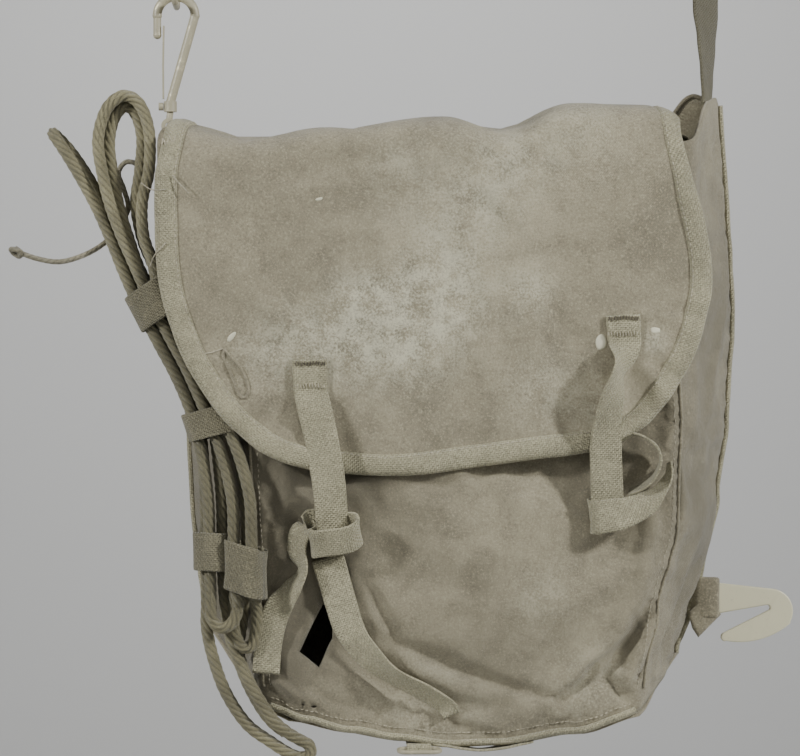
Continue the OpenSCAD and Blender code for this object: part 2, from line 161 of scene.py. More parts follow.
class Nodes:
    """Short calls for building a shader from math and mix nodes."""

    def __init__(self, name):
        self.material = bpy.data.materials.new(name)
        self.material.use_nodes = True
        self.tree = self.material.node_tree
        self.shader = self.tree.nodes["Principled BSDF"]

    def put(self, socket, value):
        if hasattr(value, "is_output"):
            self.tree.links.new(value, socket)
        else:
            socket.default_value = value

    def math(self, operation, a, b=0.0, c=0.0):
        node = self.tree.nodes.new("ShaderNodeMath")
        node.operation = operation
        for socket, value in zip(node.inputs, (a, b, c)):
            self.put(socket, value)
        return node.outputs[0]

    def mix(self, share, a, b):
        node = self.tree.nodes.new("ShaderNodeMix")
        node.data_type = "RGBA"
        self.put(node.inputs["Factor"], share)
        self.put(node.inputs["A"], a)
        self.put(node.inputs["B"], b)
        return node.outputs["Result"]

    def noise(self, where, scale, detail=4.0, rough=0.55):
        node = self.tree.nodes.new("ShaderNodeTexNoise")
        self.put(node.inputs["Vector"], where)
        node.inputs["Scale"].default_value = scale
        node.inputs["Detail"].default_value = detail
        node.inputs["Roughness"].default_value = rough
        return node.outputs["Fac"]

    def ramp(self, value, low, high):
        """0 below low, 1 above high, smooth between."""
        node = self.tree.nodes.new("ShaderNodeMapRange")
        node.interpolation_type = "SMOOTHSTEP"
        self.put(node.inputs["Value"], value)
        self.put(node.inputs["From Min"], low)
        self.put(node.inputs["From Max"], high)
        return node.outputs["Result"]

    def attribute(self, name):
        node = self.tree.nodes.new("ShaderNodeAttribute")
        node.attribute_name = name
        return node.outputs["Fac"]

    def uv(self):
        node = self.tree.nodes.new("ShaderNodeUVMap")
        node.uv_map = "cut"
        return node.outputs["UV"]

    def place(self):
        return self.tree.nodes.new("ShaderNodeTexCoord").outputs["Object"]

    def bump(self, height, distance, strength=1.0, below=None):
        node = self.tree.nodes.new("ShaderNodeBump")
        node.inputs["Strength"].default_value = strength
        node.inputs["Distance"].default_value = distance
        self.put(node.inputs["Height"], height)
        if below is not None:
            self.put(node.inputs["Normal"], below)
        return node.outputs["Normal"]

    def stain(self, shade, mask, share, colour):
        """Lays colour over shade where mask is 1, by share."""
        return self.mix(self.math("MULTIPLY", mask, share), shade, colour)

    def finish(self, inputs):
        """Sets the shader's inputs by name and gives the finished material."""
        for name, value in inputs.items():
            self.put(self.shader.inputs[name], value)
        return self.material


def weave(n, yarn):
    """Height of a plain weave's crossing yarns; yarn is their width in metres."""
    split = n.tree.nodes.new("ShaderNodeSeparateXYZ")
    n.put(split.inputs[0], n.uv())
    wander = n.math("MULTIPLY", n.noise(n.place(), 60.0, 1.0), 1.6)
    across = n.math("ADD", n.math("DIVIDE", split.outputs[0], yarn), wander)
    along = n.math("ADD", n.math("DIVIDE", split.outputs[1], yarn), wander)
    count = n.math("ADD", n.math("FLOOR", across), n.math("FLOOR", along))
    over = n.math("LESS_THAN", n.math("FLOORED_MODULO", count, 2.0), 0.5)
    warp = n.math("ABSOLUTE", n.math("SINE", n.math("MULTIPLY", across, math.pi)))
    weft = n.math("ABSOLUTE", n.math("SINE", n.math("MULTIPLY", along, math.pi)))
    a = n.math("MULTIPLY", warp, over)
    b = n.math("MULTIPLY", weft, n.math("SUBTRACT", 1.0, over))
    return n.math("ADD", a, b)


def tone(colour, share):
    return tuple(c * share for c in colour[:3]) + (1,)


def cloth_material(name, colour, yarn, depth):
    """Worn cotton: yarns, lint, faded patches, darkened patches that are partly grime and partly painted
    shade, a pale crust where the pale attribute says.
    """
    n = Nodes(name)
    where = n.place()
    yarns = weave(n, yarn)
    broad = n.noise(where, 9.0, 5.0)
    middle = n.noise(where, 46.0, 6.0, 0.62)
    grain = n.noise(where, 640.0, 3.0, 0.6)
    lint = n.noise(where, 1500.0, 2.0)
    worn = n.math("MULTIPLY", n.attribute("worn"), n.ramp(middle, 0.25, 0.65))
    # Darkened patches, partly grime and partly painted shade: the side panels, strap shadows below the flap,
    # creases, the shoulder strap
    grime = n.math("MULTIPLY", n.attribute("grime"), n.ramp(n.noise(where, 22.0), 0.15, 0.55))
    cake = n.math("MULTIPLY_ADD", n.noise(where, 60.0, 8.0, 0.75), 0.6, n.math("MULTIPLY", grain, 0.4))
    crust = n.math("MULTIPLY", n.attribute("pale"), n.ramp(cake, 0.40, 0.60))
    shade = n.mix(n.ramp(broad, 0.36, 0.66), tone(colour, 0.80), tone(colour, 1.12))
    shade = n.stain(shade, n.ramp(middle, 0.48, 0.72), 0.50, tone(colour, 1.34))
    shade = n.stain(shade, n.ramp(middle, 0.50, 0.28), 0.50, tone(colour, 0.62))
    shade = n.stain(shade, n.math("SUBTRACT", 1.0, yarns), 0.36, tone(colour, 0.50))
    shade = n.stain(shade, n.ramp(grain, 0.52, 0.70), 0.60, tone(colour, 1.6))
    shade = n.stain(shade, n.ramp(grain, 0.48, 0.30), 0.55, tone(colour, 0.45))
    shade = n.stain(shade, n.ramp(lint, 0.60, 0.74), 0.45, tone(colour, 2.0))
    shade = n.stain(shade, worn, 0.7, tone(colour, 1.45))
    shade = n.stain(shade, grime, 0.8, tone(colour, 0.48))
    shade = n.mix(n.math("MINIMUM", crust, 0.9), shade, CRUST_COLOUR)
    fuzz = n.bump(grain, 0.0007, 0.8, n.bump(middle, 0.0036, 0.9))
    return n.finish({
        "Base Color": shade,
        "Roughness": 0.92,
        "Sheen Weight": 0.25,
        "Sheen Roughness": 0.5,
        "Specular IOR Level": 0.25,
        "Normal": n.bump(yarns, depth, 0.8, fuzz),
    })


def rope_material(name, colour, yarns, lay):
    """Twisted cotton: yarns that turn once round the rope in lay metres, with painted shade in the grooves
    between strands and darkening that is partly grime and partly painted shade.
    """
    n = Nodes(name)
    where = n.place()
    split = n.tree.nodes.new("ShaderNodeSeparateXYZ")
    n.put(split.inputs[0], n.uv())
    slant = n.math("MULTIPLY", split.outputs[1], 2 * math.pi * yarns / lay)
    turn = n.math("MULTIPLY_ADD", split.outputs[0], yarns, n.math("MULTIPLY", slant, -1.0))
    fibres = n.math("ABSOLUTE", n.math("SINE", n.math("MULTIPLY", turn, 0.5)))
    patches = n.noise(where, 40.0, 5.0)
    lint = n.noise(where, 900.0, 3.0)
    shade = n.mix(n.ramp(patches, 0.35, 0.68), tone(colour, 0.72), tone(colour, 1.22))
    shade = n.stain(shade, n.math("SUBTRACT", 1.0, fibres), 0.55, tone(colour, 0.45))
    # Painted shade in the grooves between the strands
    shade = n.stain(shade, n.attribute("groove"), 0.8, tone(colour, 0.26))
    shade = n.stain(shade, n.ramp(lint, 0.5, 0.7), 0.35, tone(colour, 1.5))
    # Darkening by height, partly grime and partly painted shade
    shade = n.stain(shade, n.attribute("grime"), 0.6, tone(colour, 0.30))
    return n.finish({
        "Base Color": shade,
        "Roughness": 0.88,
        "Sheen Weight": 0.2,
        "Specular IOR Level": 0.25,
        "Normal": n.bump(fibres, 0.0006, 0.9, n.bump(lint, 0.0003, 0.7)),
    })


def metal_material(name, colour):
    """Khaki-coated metal, rubbed bright in places."""
    n = Nodes(name)
    where = n.place()
    patches = n.noise(where, 120.0, 6.0, 0.65)
    rub = n.ramp(patches, 0.52, 0.70)
    return n.finish({
        "Base Color": n.mix(rub, colour, tone(colour, 1.5)),
        "Metallic": n.math("MULTIPLY", rub, 0.55),
        "Roughness": n.math("MULTIPLY_ADD", patches, 0.35, 0.25),
        "Normal": n.bump(patches, 0.0002, 0.5),
    })


def plastic_material(name, colour):
    """Old cream plastic with a soft gloss, scuffs and small dark nicks."""
    n = Nodes(name)
    where = n.place()
    patches = n.noise(where, 60.0, 5.0)
    scuffs = n.ramp(n.noise(where, 420.0, 4.0, 0.7), 0.62, 0.72)
    shade = n.mix(patches, tone(colour, 0.92), tone(colour, 1.05))
    return n.finish({
        "Base Color": n.stain(shade, scuffs, 0.5, tone(colour, 0.55)),
        "Roughness": n.math("MULTIPLY_ADD", patches, 0.25, 0.32),
        "Normal": n.bump(patches, 0.0003, 0.3),
    })


CANVAS_COLOUR = (0.340, 0.306, 0.212, 1)
WEBBING_COLOUR = (0.40, 0.372, 0.248, 1)
# A darker copy of the webbing for the shoulder strap and the keepers: partly grime, partly painted shade
GRIME_AND_SHADE_COLOUR = (0.222, 0.204, 0.132, 1)
ROPE_COLOUR = (0.37, 0.338, 0.202, 1)
CORD_COLOUR = (0.42, 0.385, 0.27, 1)
METAL_COLOUR = (0.40, 0.37, 0.26, 1)
CREAM_COLOUR = (0.70, 0.665, 0.465, 1)
CRUST_COLOUR = (0.68, 0.655, 0.49, 1)
THREAD_COLOUR = (0.46, 0.42, 0.31, 1)
DARK_COLOUR = (0.10, 0.085, 0.06, 1)

CANVAS = cloth_material("worn_canvas", CANVAS_COLOUR, 0.0008, 0.00035)
WEBBING = cloth_material("cotton_webbing", WEBBING_COLOUR, 0.0015, 0.0007)
GRIME_AND_SHADE_WEBBING = cloth_material("grimy_and_shaded_webbing", GRIME_AND_SHADE_COLOUR, 0.0015, 0.0007)
THREAD = cloth_material("sewing_thread", THREAD_COLOUR, 0.0004, 0.0001)
DARK_THREAD = cloth_material("dark_thread", DARK_COLOUR, 0.0004, 0.0001)
ROPE = rope_material("laid_rope", ROPE_COLOUR, 30, 0.0414)
CORD = rope_material("thin_cord", CORD_COLOUR, 12, 0.014)
METAL = metal_material("khaki_metal", METAL_COLOUR)
CREAM = plastic_material("cream_plastic", CREAM_COLOUR)
PAINT = plastic_material("dried_paint", CRUST_COLOUR)


# ---------------------------------------------------------------- shape tools


def spline_point(a, b, c, d, t):
    """The Catmull-Rom point at a share t of the way from b to c."""
    linear = (c - a) * t
    squared = (2 * a - 5 * b + 4 * c - d) * t * t
    cubed = (3 * b - a - 3 * c + d) * t**3
    return 0.5 * (2 * b + linear + squared + cubed)


def smooth_line(points, step):
    """A smooth line through points, with a new point about every step, and each one's share of the way."""
    p = np.array([tuple(v) for v in points], float)
    ends = np.vstack([2 * p[0] - p[1], p, 2 * p[-1] - p[-2]])
    line = []
    shares = []
    for i in range(len(p) - 1):
        a, b, c, d = ends[i : i + 4]
        count = max(1, int(round(np.linalg.norm(c - b) / step)))
        for k in range(count):
            t = k / count
            line.append(spline_point(a, b, c, d, t))
            shares.append((i + t) / (len(p) - 1))
    line.append(p[-1])
    shares.append(1.0)
    return np.array(line), np.array(shares)


def blend_values(values, share):
    """The value at a share of the way along a list."""
    at = share * (len(values) - 1)
    i = min(int(at), len(values) - 2)
    t = at - i
    t = t * t * (3 - 2 * t)
    return np.array(values[i], float) * (1 - t) + np.array(values[i + 1], float) * t


def unit(v):
    return v / max(np.linalg.norm(v), 1e-9)


def distance_along(line):
    """How far each point of a line is from its start."""
    return np.concatenate([[0], np.cumsum(np.linalg.norm(np.diff(line, axis=0), axis=1))])


def squarish(c, power):
    """A cosine or sine drawn toward 1 and -1, which squares a circle off a little."""
    return math.copysign(abs(c) ** power, c)


def fit(obj, slot, *nodes, body="bag"):
    """Fixes a piece to a body, in place of its CAD nodes; the slot argument is not used."""
    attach(obj, body)
    if nodes:
        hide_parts(*nodes)


def mesh_object(name, points, faces, material, uvs=None):
    """A mesh from points in the shared frame; uvs are in metres, one a point."""
    mesh = bpy.data.meshes.new(name)
    mesh.from_pydata([tuple(p) for p in points], [], faces)
    if uvs is not None:
        layer = mesh.uv_layers.new(name="cut")
        loops = np.zeros(len(mesh.loops), int)
        mesh.loops.foreach_get("vertex_index", loops)
        layer.data.foreach_set("uv", np.array(uvs, np.float32)[loops].ravel())
    mesh.polygons.foreach_set("use_smooth", [True] * len(mesh.polygons))
    mesh.materials.append(material)
    mesh.update()
    obj = bpy.data.objects.new(name, mesh)
    scene.collection.objects.link(obj)
    return obj


def paint(obj, name, values):
    obj.data.attributes.new(name, "FLOAT", "POINT").data.foreach_set("value", np.array(values, np.float32))


def loft(name, rings, material, uvs=None, closed=False):
    """Skins rings of equal count, each a list of points in the shared frame."""
    n = len(rings[0])
    m = len(rings)
    faces = []
    for i in range(m if closed else m - 1):
        a = i * n
        b = (i + 1) % m * n
        faces += [(a + j, b + j, b + (j + 1) % n, a + (j + 1) % n) for j in range(n)]
    if not closed:
        faces.append(tuple(reversed(range(n))))
        faces.append(tuple((m - 1) * n + j for j in range(n)))
    points = [p for ring in rings for p in ring]
    obj = mesh_object(name, points, faces, material, uvs)
    bm = bmesh.new()
    bm.from_mesh(obj.data)
    bmesh.ops.recalc_face_normals(bm, faces=bm.faces)
    bm.to_mesh(obj.data)
    bm.free()
    return obj


# Share of the half width and of the half thickness, round a tape's section
TAPE_SECTION = [
    (-1.0, 0.0), (-0.97, 0.8), (-0.86, 1.0), (-0.45, 0.86), (0.0, 0.82), (0.45, 0.86),
    (0.86, 1.0), (0.97, 0.8), (1.0, 0.0), (0.97, -0.8), (0.86, -1.0), (0.45, -0.86),
    (0.0, -0.82), (-0.45, -0.86), (-0.86, -1.0), (-0.97, -0.8),
]


def tape(name, points, sides, width, material, thick=TAPE_T, step=3.0, closed=False):
    """Webbing swept along points; sides is the direction of its width at each point, in millimetres."""
    if closed:
        line = np.array([tuple(p) for p in points], float)
        shares = np.arange(len(line)) / len(line)
    else:
        line, shares = smooth_line(points, step)
    count = len(line)
    widths = width if hasattr(width, "__len__") else [width, width]
    rings = []
    uvs = []
    run = 0.0
    for i in range(count):
        ahead = line[(i + 1) % count] if closed else line[min(i + 1, count - 1)]
        back = line[i - 1] if closed else line[max(i - 1, 0)]
        forward = unit(ahead - back)
        side = blend_values(sides, shares[i]) if len(sides) > 1 else np.array(sides[0], float)
        side = unit(side - forward * np.dot(side, forward))
        normal = np.cross(side, forward)
        half = blend_values(widths, shares[i]) / 2
        run += np.linalg.norm(line[i] - line[i - 1]) if i else 0.0
        ring = []
        for share, lift in TAPE_SECTION:
            place = line[i] + side * half * share + normal * thick / 2 * lift
            ring.append(bag(*place))
            uvs.append((half * share / 1000, run / 1000))
        rings.append(ring)
    return loft(name, rings, material, uvs, closed=closed)


def frames_along(line):
    """Directions that don't spin about a line: forward, side and up at each point."""
    forward = np.gradient(line, axis=0)
    forward /= np.linalg.norm(forward, axis=1)[:, None]
    side = np.cross(forward[0], (0, 0, 1))
    if np.linalg.norm(side) < 0.2:
        side = np.cross(forward[0], (0, 1, 0))
    sides = []
    for f in forward:
        side = unit(side - f * np.dot(side, f))
        sides.append(side)
    sides = np.array(sides)
    return forward, sides, np.cross(sides, forward)


def rope(name, line, d, material, strands=6, pitch=4.6, ring=42, groove=0.27, taper=0.0):
    """A laid rope along a line in millimetres: lobes that turn once in pitch diameters."""
    _, side, up = frames_along(line)
    run = distance_along(line)
    angle = np.arange(ring) * 2 * math.pi / ring
    rings = []
    uvs = []
    groove_shading = []
    for i in range(len(line)):
        lobes = np.abs(np.sin((angle - 2 * math.pi * run[i] / (pitch * d)) * strands / 2))
        near_end = min(run[i], run[-1] - run[i]) / d
        size = 1 - taper * max(0.0, 1 - near_end)
        radius = d / 2 * size * (1 - groove + groove * lobes**0.7)
        spots = line[i] + np.outer(radius * np.cos(angle), side[i]) + np.outer(radius * np.sin(angle), up[i])
        rings.append([bag(*p) for p in spots])
        uvs += [(a, run[i] / 1000) for a in angle]
        # Painted shade: 1 in the grooves between the lobes, where the rope material darkens the colour
        groove_shading += list(1 - np.clip(lobes * 1.7, 0, 1))
    obj = loft(name, rings, material, uvs)
    paint(obj, "groove", groove_shading)
    return obj


def tube(name, points, d, material, step=2.0, ring=12):
    """A plain round tube of diameter d along points in millimetres."""
    line = smooth_line(points, step)[0]
    _, side, up = frames_along(line)
    run = distance_along(line)
    angle = np.arange(ring) * 2 * math.pi / ring
    rings = []
    uvs = []
    for i in range(len(line)):
        spots = line[i] + np.outer(np.cos(angle) * d / 2, side[i]) + np.outer(np.sin(angle) * d / 2, up[i])
        rings.append([bag(*p) for p in spots])
        uvs += [(a * d / 2000, run[i] / 1000) for a in angle]
    return loft(name, rings, material, uvs)


def stitches(name, spots, material, length=2.6, d=0.8):
    """Short threads, one for each (place, direction) in the shared frame."""
    points = []
    faces = []
    for place, way in spots:
        way = unit(np.array(way, float))
        side = unit(np.cross(way, (0.3, 0.9, 0.2)))
        up = np.cross(way, side)
        base = len(points)
        for share, size in ((-0.5, 0.35), (-0.3, 1.0), (0.3, 1.0), (0.5, 0.35)):
            for k in range(6):
                a = k * math.pi / 3
                ray = (side * math.cos(a) + up * math.sin(a)) * size * d / 2000
                points.append(np.array(place) + way * share * length / 1000 + ray)
        for low in (base, base + 6, base + 12):
            faces += [(low + k, low + (k + 1) % 6, low + 6 + (k + 1) % 6, low + 6 + k) for k in range(6)]
        faces.append(tuple(base + k for k in reversed(range(6))))
        faces.append(tuple(base + 18 + k for k in range(6)))
    uvs = [(0.0, 0.0)] * len(points)
    return mesh_object(name, points, faces, material, uvs)


# ---------------------------------------------------------------- cloth


def inside(polygon, spots):
    """Which spots lie in a polygon."""
    poly = np.array(polygon, float)
    x, y = spots[:, 0], spots[:, 1]
    hit = np.zeros(len(spots), bool)
    j = len(poly) - 1
    for i in range(len(poly)):
        (xi, yi), (xj, yj) = poly[i], poly[j]
        if yi != yj:
            hit ^= ((yi > y) != (yj > y)) & (x < (xj - xi) * (y - yi) / (yj - yi) + xi)
        j = i
    return hit


def resample(loop, step):
    """A closed loop cut into equal steps; corners stay."""
    out = []
    for a, b in zip(loop, loop[1:] + loop[:1]):
        a, b = np.array(a, float), np.array(b, float)
        count = max(1, int(round(np.linalg.norm(b - a) / step)))
        out += [a + (b - a) * k / count for k in range(count)]
    return out


def round_loop(loop, step=8):
    """A smooth closed outline through given points."""
    line = smooth_line([(*p, 0) for p in loop + loop[:1]], step)[0]
    return [tuple(p[:2]) for p in line[:-1]]


SETTLE_FRAMES = 18


class Cloth:
    """Cloth cut flat in millimetres and laid in place; at() finds points on it after it has settled."""

    def __init__(self, outline, place, step, holes=()):
        edge = resample(outline, step)
        rims = [resample(hole, step * 0.6) for hole in holes]
        low = np.min(edge, axis=0)
        high = np.max(edge, axis=0)
        rows = np.arange(low[1], high[1], step * 0.866)
        grid = [
            (x + (step / 2 if i % 2 else 0), y)
            for i, y in enumerate(rows)
            for x in np.arange(low[0], high[0], step)
        ]
        grid = np.array(grid)
        keep = inside(edge, grid)
        for rim in rims:
            keep &= ~inside(rim, grid)
        walls = np.vstack([np.array(edge)] + [np.array(rim) for rim in rims])
        tree = BVHTree.FromPolygons([(*w, 0) for w in walls], [(i, i, i) for i in range(len(walls))])
        near = np.array([tree.find_nearest((x, y, 0))[3] > step * 0.6 for x, y in grid])
        grid = grid[keep & near]
        spots = [Vector(p) for p in list(walls) + list(grid)]
        links = []
        start = 0
        for loop in [edge] + rims:
            links += [(start + i, start + (i + 1) % len(loop)) for i in range(len(loop))]
            start += len(loop)
        flat, _, faces, *_ = geometry.delaunay_2d_cdt(spots, links, [], 0, 1e-6)
        self.flat = np.array([tuple(v) for v in flat])
        middles = np.array([self.flat[list(f)].mean(axis=0) for f in faces])
        good = inside(edge, middles)
        for rim in rims:
            good &= ~inside(rim, middles)
        self.faces = [f for f, g in zip(faces, good) if g]
        self.points = np.array([tuple(bag(*place(x, y))) for x, y in self.flat])
        self.tree = BVHTree.FromPolygons([(x, y, 0) for x, y in self.flat], self.faces)

    def settle(self, name, pinned, grow, cap):
        """Lets the cloth buckle by up to cap millimetres between its pinned points, as if it had grown."""
        obj = mesh_object(name, self.points, self.faces, CANVAS)
        group = obj.vertex_groups.new(name="pinned")
        for i, (x, y) in enumerate(self.flat):
            hold = pinned(x, y)
            if hold > 0:
                group.add([i], hold, "REPLACE")
        mod = obj.modifiers.new("settle", "CLOTH")
        mod.settings.quality = 5
        mod.settings.mass = 0.25
        mod.settings.tension_stiffness = 12
        mod.settings.compression_stiffness = 12
        mod.settings.shear_stiffness = 6
        mod.settings.bending_stiffness = 0.6
        mod.settings.air_damping = 4
        mod.settings.vertex_group_mass = "pinned"
        mod.settings.shrink_min = -grow
        mod.settings.effector_weights.gravity = 0
        mod.collision_settings.use_collision = False
        mod.point_cache.frame_end = SETTLE_FRAMES
        for f in range(1, SETTLE_FRAMES + 1):
            scene.frame_set(f)
        after = obj.evaluated_get(bpy.context.evaluated_depsgraph_get()).to_mesh()
        moved = np.zeros(len(after.vertices) * 3)
        after.vertices.foreach_get("co", moved)
        shift = moved.reshape(-1, 3) - self.points
        size = np.linalg.norm(shift, axis=1)
        limit = cap / 1000
        shift *= (limit * np.tanh(size / limit) / np.maximum(size, 1e-9))[:, None]
        self.points = self.points + shift
        bpy.data.objects.remove(obj)
        scene.frame_set(1)

    def at(self, x, y, lift=0.0):
        """The point over pattern spot (x, y), lift millimetres off the outer side."""
        spot, _, index, _ = self.tree.find_nearest((x, y, 0))
        a, b, c = self.faces[index]
        weights = barycentric(self.flat[a], self.flat[b], self.flat[c], (spot[0], spot[1]))
        pa, pb, pc = self.points[a], self.points[b], self.points[c]
        place = pa * weights[0] + pb * weights[1] + pc * weights[2]
        return place + unit(np.cross(pb - pa, pc - pa)) * lift / 1000

    def make(self, name, thick=CANVAS_T, **paints):
        """The finished canvas: both faces of the cloth, its outer face on the settled points."""
        obj = mesh_object(name, self.points, self.faces, CANVAS, self.flat / 1000)
        for key, patches in paints.items():
            paint(obj, key, [patch_strength(patches, x, y) for x, y in self.flat])
        solid = obj.modifiers.new("thickness", "SOLIDIFY")
        solid.thickness = thick / 1000
        solid.offset = -1
        solid.use_even_offset = False
        return apply_modifiers(obj)


def barycentric(a, b, c, p):
    total = (b[1] - c[1]) * (a[0] - c[0]) + (c[0] - b[0]) * (a[1] - c[1])
    if abs(total) < 1e-12:
        return (1.0, 0.0, 0.0)
    u = ((b[1] - c[1]) * (p[0] - c[0]) + (c[0] - b[0]) * (p[1] - c[1])) / total
    v = ((c[1] - a[1]) * (p[0] - c[0]) + (a[0] - c[0]) * (p[1] - c[1])) / total
    return (u, v, 1 - u - v)


def apply_modifiers(obj):
    mesh = bpy.data.meshes.new_from_object(obj.evaluated_get(bpy.context.evaluated_depsgraph_get()))
    obj.modifiers.clear()
    obj.data = mesh
    return obj


def mounds(spots, x, y):
    """A sum of round mounds at (x, y): each spot is an x, a y, a radius and a height."""
    return sum(h * math.exp(-((x - a) ** 2 + (y - b) ** 2) / r**2) for a, b, r, h in spots)


def patch_strength(spots, x, y):
    """How strongly round patches are painted at (x, y), from 0 to 1."""
    return min(1.0, max(0.0, mounds(spots, x, y)))


def ridge(x, z, start, end, width, height):
    """A fold along a line that dies out toward its ends."""
    ax, az = start
    bx, bz = end
    long = math.hypot(bx - ax, bz - az)
    t = ((x - ax) * (bx - ax) + (z - az) * (bz - az)) / long**2
    if t < -0.1 or t > 1.1:
        return 0.0
    off = ((x - ax) * (bz - az) - (z - az) * (bx - ax)) / long
    fade = math.sin(math.pi * min(1.0, max(0.0, (t + 0.1) / 1.2)))
    return height * fade * math.exp(-((off / width) ** 2))


def table(pairs, x):
    """Smooth interpolation in a short list of (x, value)."""
    if x <= pairs[0][0]:
        return pairs[0][1]
    for (x0, v0), (x1, v1) in zip(pairs, pairs[1:]):
        if x <= x1:
            t = (x - x0) / (x1 - x0)
            return v0 + (v1 - v0) * t * t * (3 - 2 * t)
    return pairs[-1][1]


# ---------------------------------------------------------------- rope and cord

# Routes, as in the CAD source but for the long bight's rounder lower turn
HANK = [(-164, -63, 106), (-165, -61, 145), (-166, -57, 180), (-172, -45, 215), (-181, -42, 245),
        (-194, -42, 275), (-210, -41, 305), (-229, -41, 342)]
HANK_TURN = math.radians(-20)
BIGHT_FRONT = [(-233, -49, 349), (-243, -50, 372), (-251, -50, 394), (-257, -49, 418), (-260, -48, 442),
               (-254, -47, 464), (-242, -47, 474), (-230, -47, 468), (-223, -47, 448), (-223, -48, 420),
               (-228, -49, 396), (-227, -49, 372), (-221, -49, 354)]
BIGHT_REAR = [(-231, -39, 349), (-239, -40, 372), (-245.5, -41, 394), (-250, -41, 418), (-252.5, -40, 440),
              (-249, -39, 458), (-241, -38, 467), (-233, -39, 461), (-228.5, -40, 444), (-230, -40, 420),
              (-233, -39, 396), (-229, -38, 372), (-222, -38, 354)]
BIGHT_EDGE = [(-242, -44, 346), (-251, -44, 369), (-262, -44, 394), (-275, -45, 418), (-286, -45, 436),
              (-293, -40, 446), (-292, -33, 446), (-282, -28, 435), (-269, -29, 416), (-256, -30, 392),
              (-247, -32, 368), (-241, -33, 346)]
BIGHT_LONG = [(-181, -58, 103), (-181, -58, 85), (-176, -58, 62), (-167, -59, 38), (-152, -63, 16),
              (-134, -67, 3), (-119, -69, -6), (-110, -70, -7.5), (-105.5, -70, -4), (-107, -70, 1.5),
              (-114, -70, 5.5), (-123, -70, 11), (-133, -69, 20), (-144, -66, 36), (-152, -62, 50),
              (-157, -54, 62), (-158, -49, 72), (-156, -48, 86), (-154, -50, 103)]
BIGHT_SMALL_LEFT = [(-178, -70, 103), (-177, -70, 93), (-170, -70, 87), (-162, -70, 91), (-158, -70, 103)]
BIGHT_SMALL_RIGHT = [(-161, -60, 102), (-161, -60, 84), (-156, -60, 73), (-149, -60, 72), (-145, -60, 84),
                     (-145, -60, 102)]
CORD_ROUTE = [(-319, -42, 360), (-304, -43, 355), (-288, -43, 353), (-271, -40, 358), (-257, -30, 367),
              (-247, -21, 379), (-240, -20, 393), (-243, -20, 407), (-247, -20, 419), (-242, -21, 427),
              (-234, -22, 426), (-227, -24, 418)]
CORD_KNOT = [(-316, -42, 359), (-320, -45, 361.5), (-324, -42, 362), (-322, -39, 359), (-318, -40, 357),
             (-317, -44, 360), (-321, -44, 363)]
ROPE_TAIL = [(-124, -62, 8), (-138, -60, 22), (-150, -58, 42), (-158, -57, 62), (-165, -58, 84)]

# Lengths in metres, and how much darker the rope is painted at each height: partly grime, partly painted
# shade on the hank
ROPE_GRIME_AND_SHADE = [(-5, 0.2), (40, 0.7), (90, 0.5), (110, 1.0), (300, 0.9), (380, 0.1)]

# Where each of the six strands lies across the hank: spread flat low down, in a round bundle higher up
SPREAD_BELOW = [(-19.5, 4.5), (-13.0, -5), (-6.5, 4.5), (6.0, -5), (12.8, 4.5), (19.8, -5)]
SPREAD_ABOVE = [(-10, 5.5), (-10, -5.5), (0, 5.5), (0, -5.5), (10, 5.5), (10, -5.5)]


def hank_frame(at):
    """Centre, direction and the two cross directions of the hank, at a place along its points."""
    i = min(int(at), len(HANK) - 2)
    a, b = np.array(HANK[i], float), np.array(HANK[i + 1], float)
    ahead = np.array(HANK[min(i + 2, len(HANK) - 1)], float) - a
    behind = b - np.array(HANK[max(i - 1, 0)], float)
    t = at - i
    way = unit(unit(behind) * (1 - t) + unit(ahead) * t)
    lean = math.atan2(way[0], way[2])
    x = np.array([math.cos(lean), 0, -math.sin(lean)])
    y = np.cross(way, x)
    p = x * math.cos(HANK_TURN) + y * math.sin(HANK_TURN)
    q = y * math.cos(HANK_TURN) - x * math.sin(HANK_TURN)
    return a + (b - a) * t, way, p, q


def strand(index, start, end):
    """One strand's points through the hank, from place start to place end along it."""
    count = max(2, int(round(abs(end - start) / 0.8)) + 1)
    points = []
    for at in np.linspace(start, end, count):
        centre, _, p, q = hank_frame(at)
        share = min(1.0, max(0.0, (at - 1.6) / 3.0))
        share = share * share * (3 - 2 * share)
        low, high = SPREAD_BELOW[index], SPREAD_ABOVE[index]
        a = low[0] + (high[0] - low[0]) * share
        b = low[1] + (high[1] - low[1]) * share
        points.append(tuple(centre + p * a + q * b))
    return points


def add_rope():
    """One rope folded into the hank: six strands joined by bights, and a short tail that hangs below."""
    low, high = 0.35, 6.6
    route = ROPE_TAIL + strand(2, low, high) + BIGHT_REAR + strand(4, high, low) + BIGHT_LONG[::-1]
    route += strand(0, low, high) + BIGHT_EDGE[::-1] + strand(1, high, low) + BIGHT_SMALL_LEFT
    route += strand(3, low, high) + BIGHT_FRONT + strand(5, high, low) + BIGHT_SMALL_RIGHT[::-1]
    route += [(-161, -56, 118)]
    line = smooth_line(route, 1.4)[0]
    obj = rope("rope", line, ROPE_D, ROPE, taper=0.25)
    # Darkening by height: partly grime, partly painted shade
    paint(obj, "grime", [table(ROPE_GRIME_AND_SHADE, v.co.z * 1000 + STRAP_CREST) for v in obj.data.vertices])
    fit(obj, "rope", "rope_hank", "rope_bight_front", "rope_bight_rear", "rope_bight_edge", "rope_bight_long",
        "rope_bight_small_left", "rope_bight_small_right")


def add_thin_cord():
    """The thin cord that comes out of the hank, and the knot in its end."""
    looks = {"strands": 3, "ring": 18, "pitch": 3.5, "groove": 0.12}
    line = smooth_line(CORD_ROUTE, 1.0)[0]
    obj = rope("thin_cord_visual", line, CORD_D, CORD, **looks)
    fit(obj, "cord", "thin_cord")
    knot = rope("thin_cord_end_knot", smooth_line(CORD_KNOT, 0.8)[0], CORD_D, CORD, **looks)
    fit(knot, "cord", "thin_cord_knot")


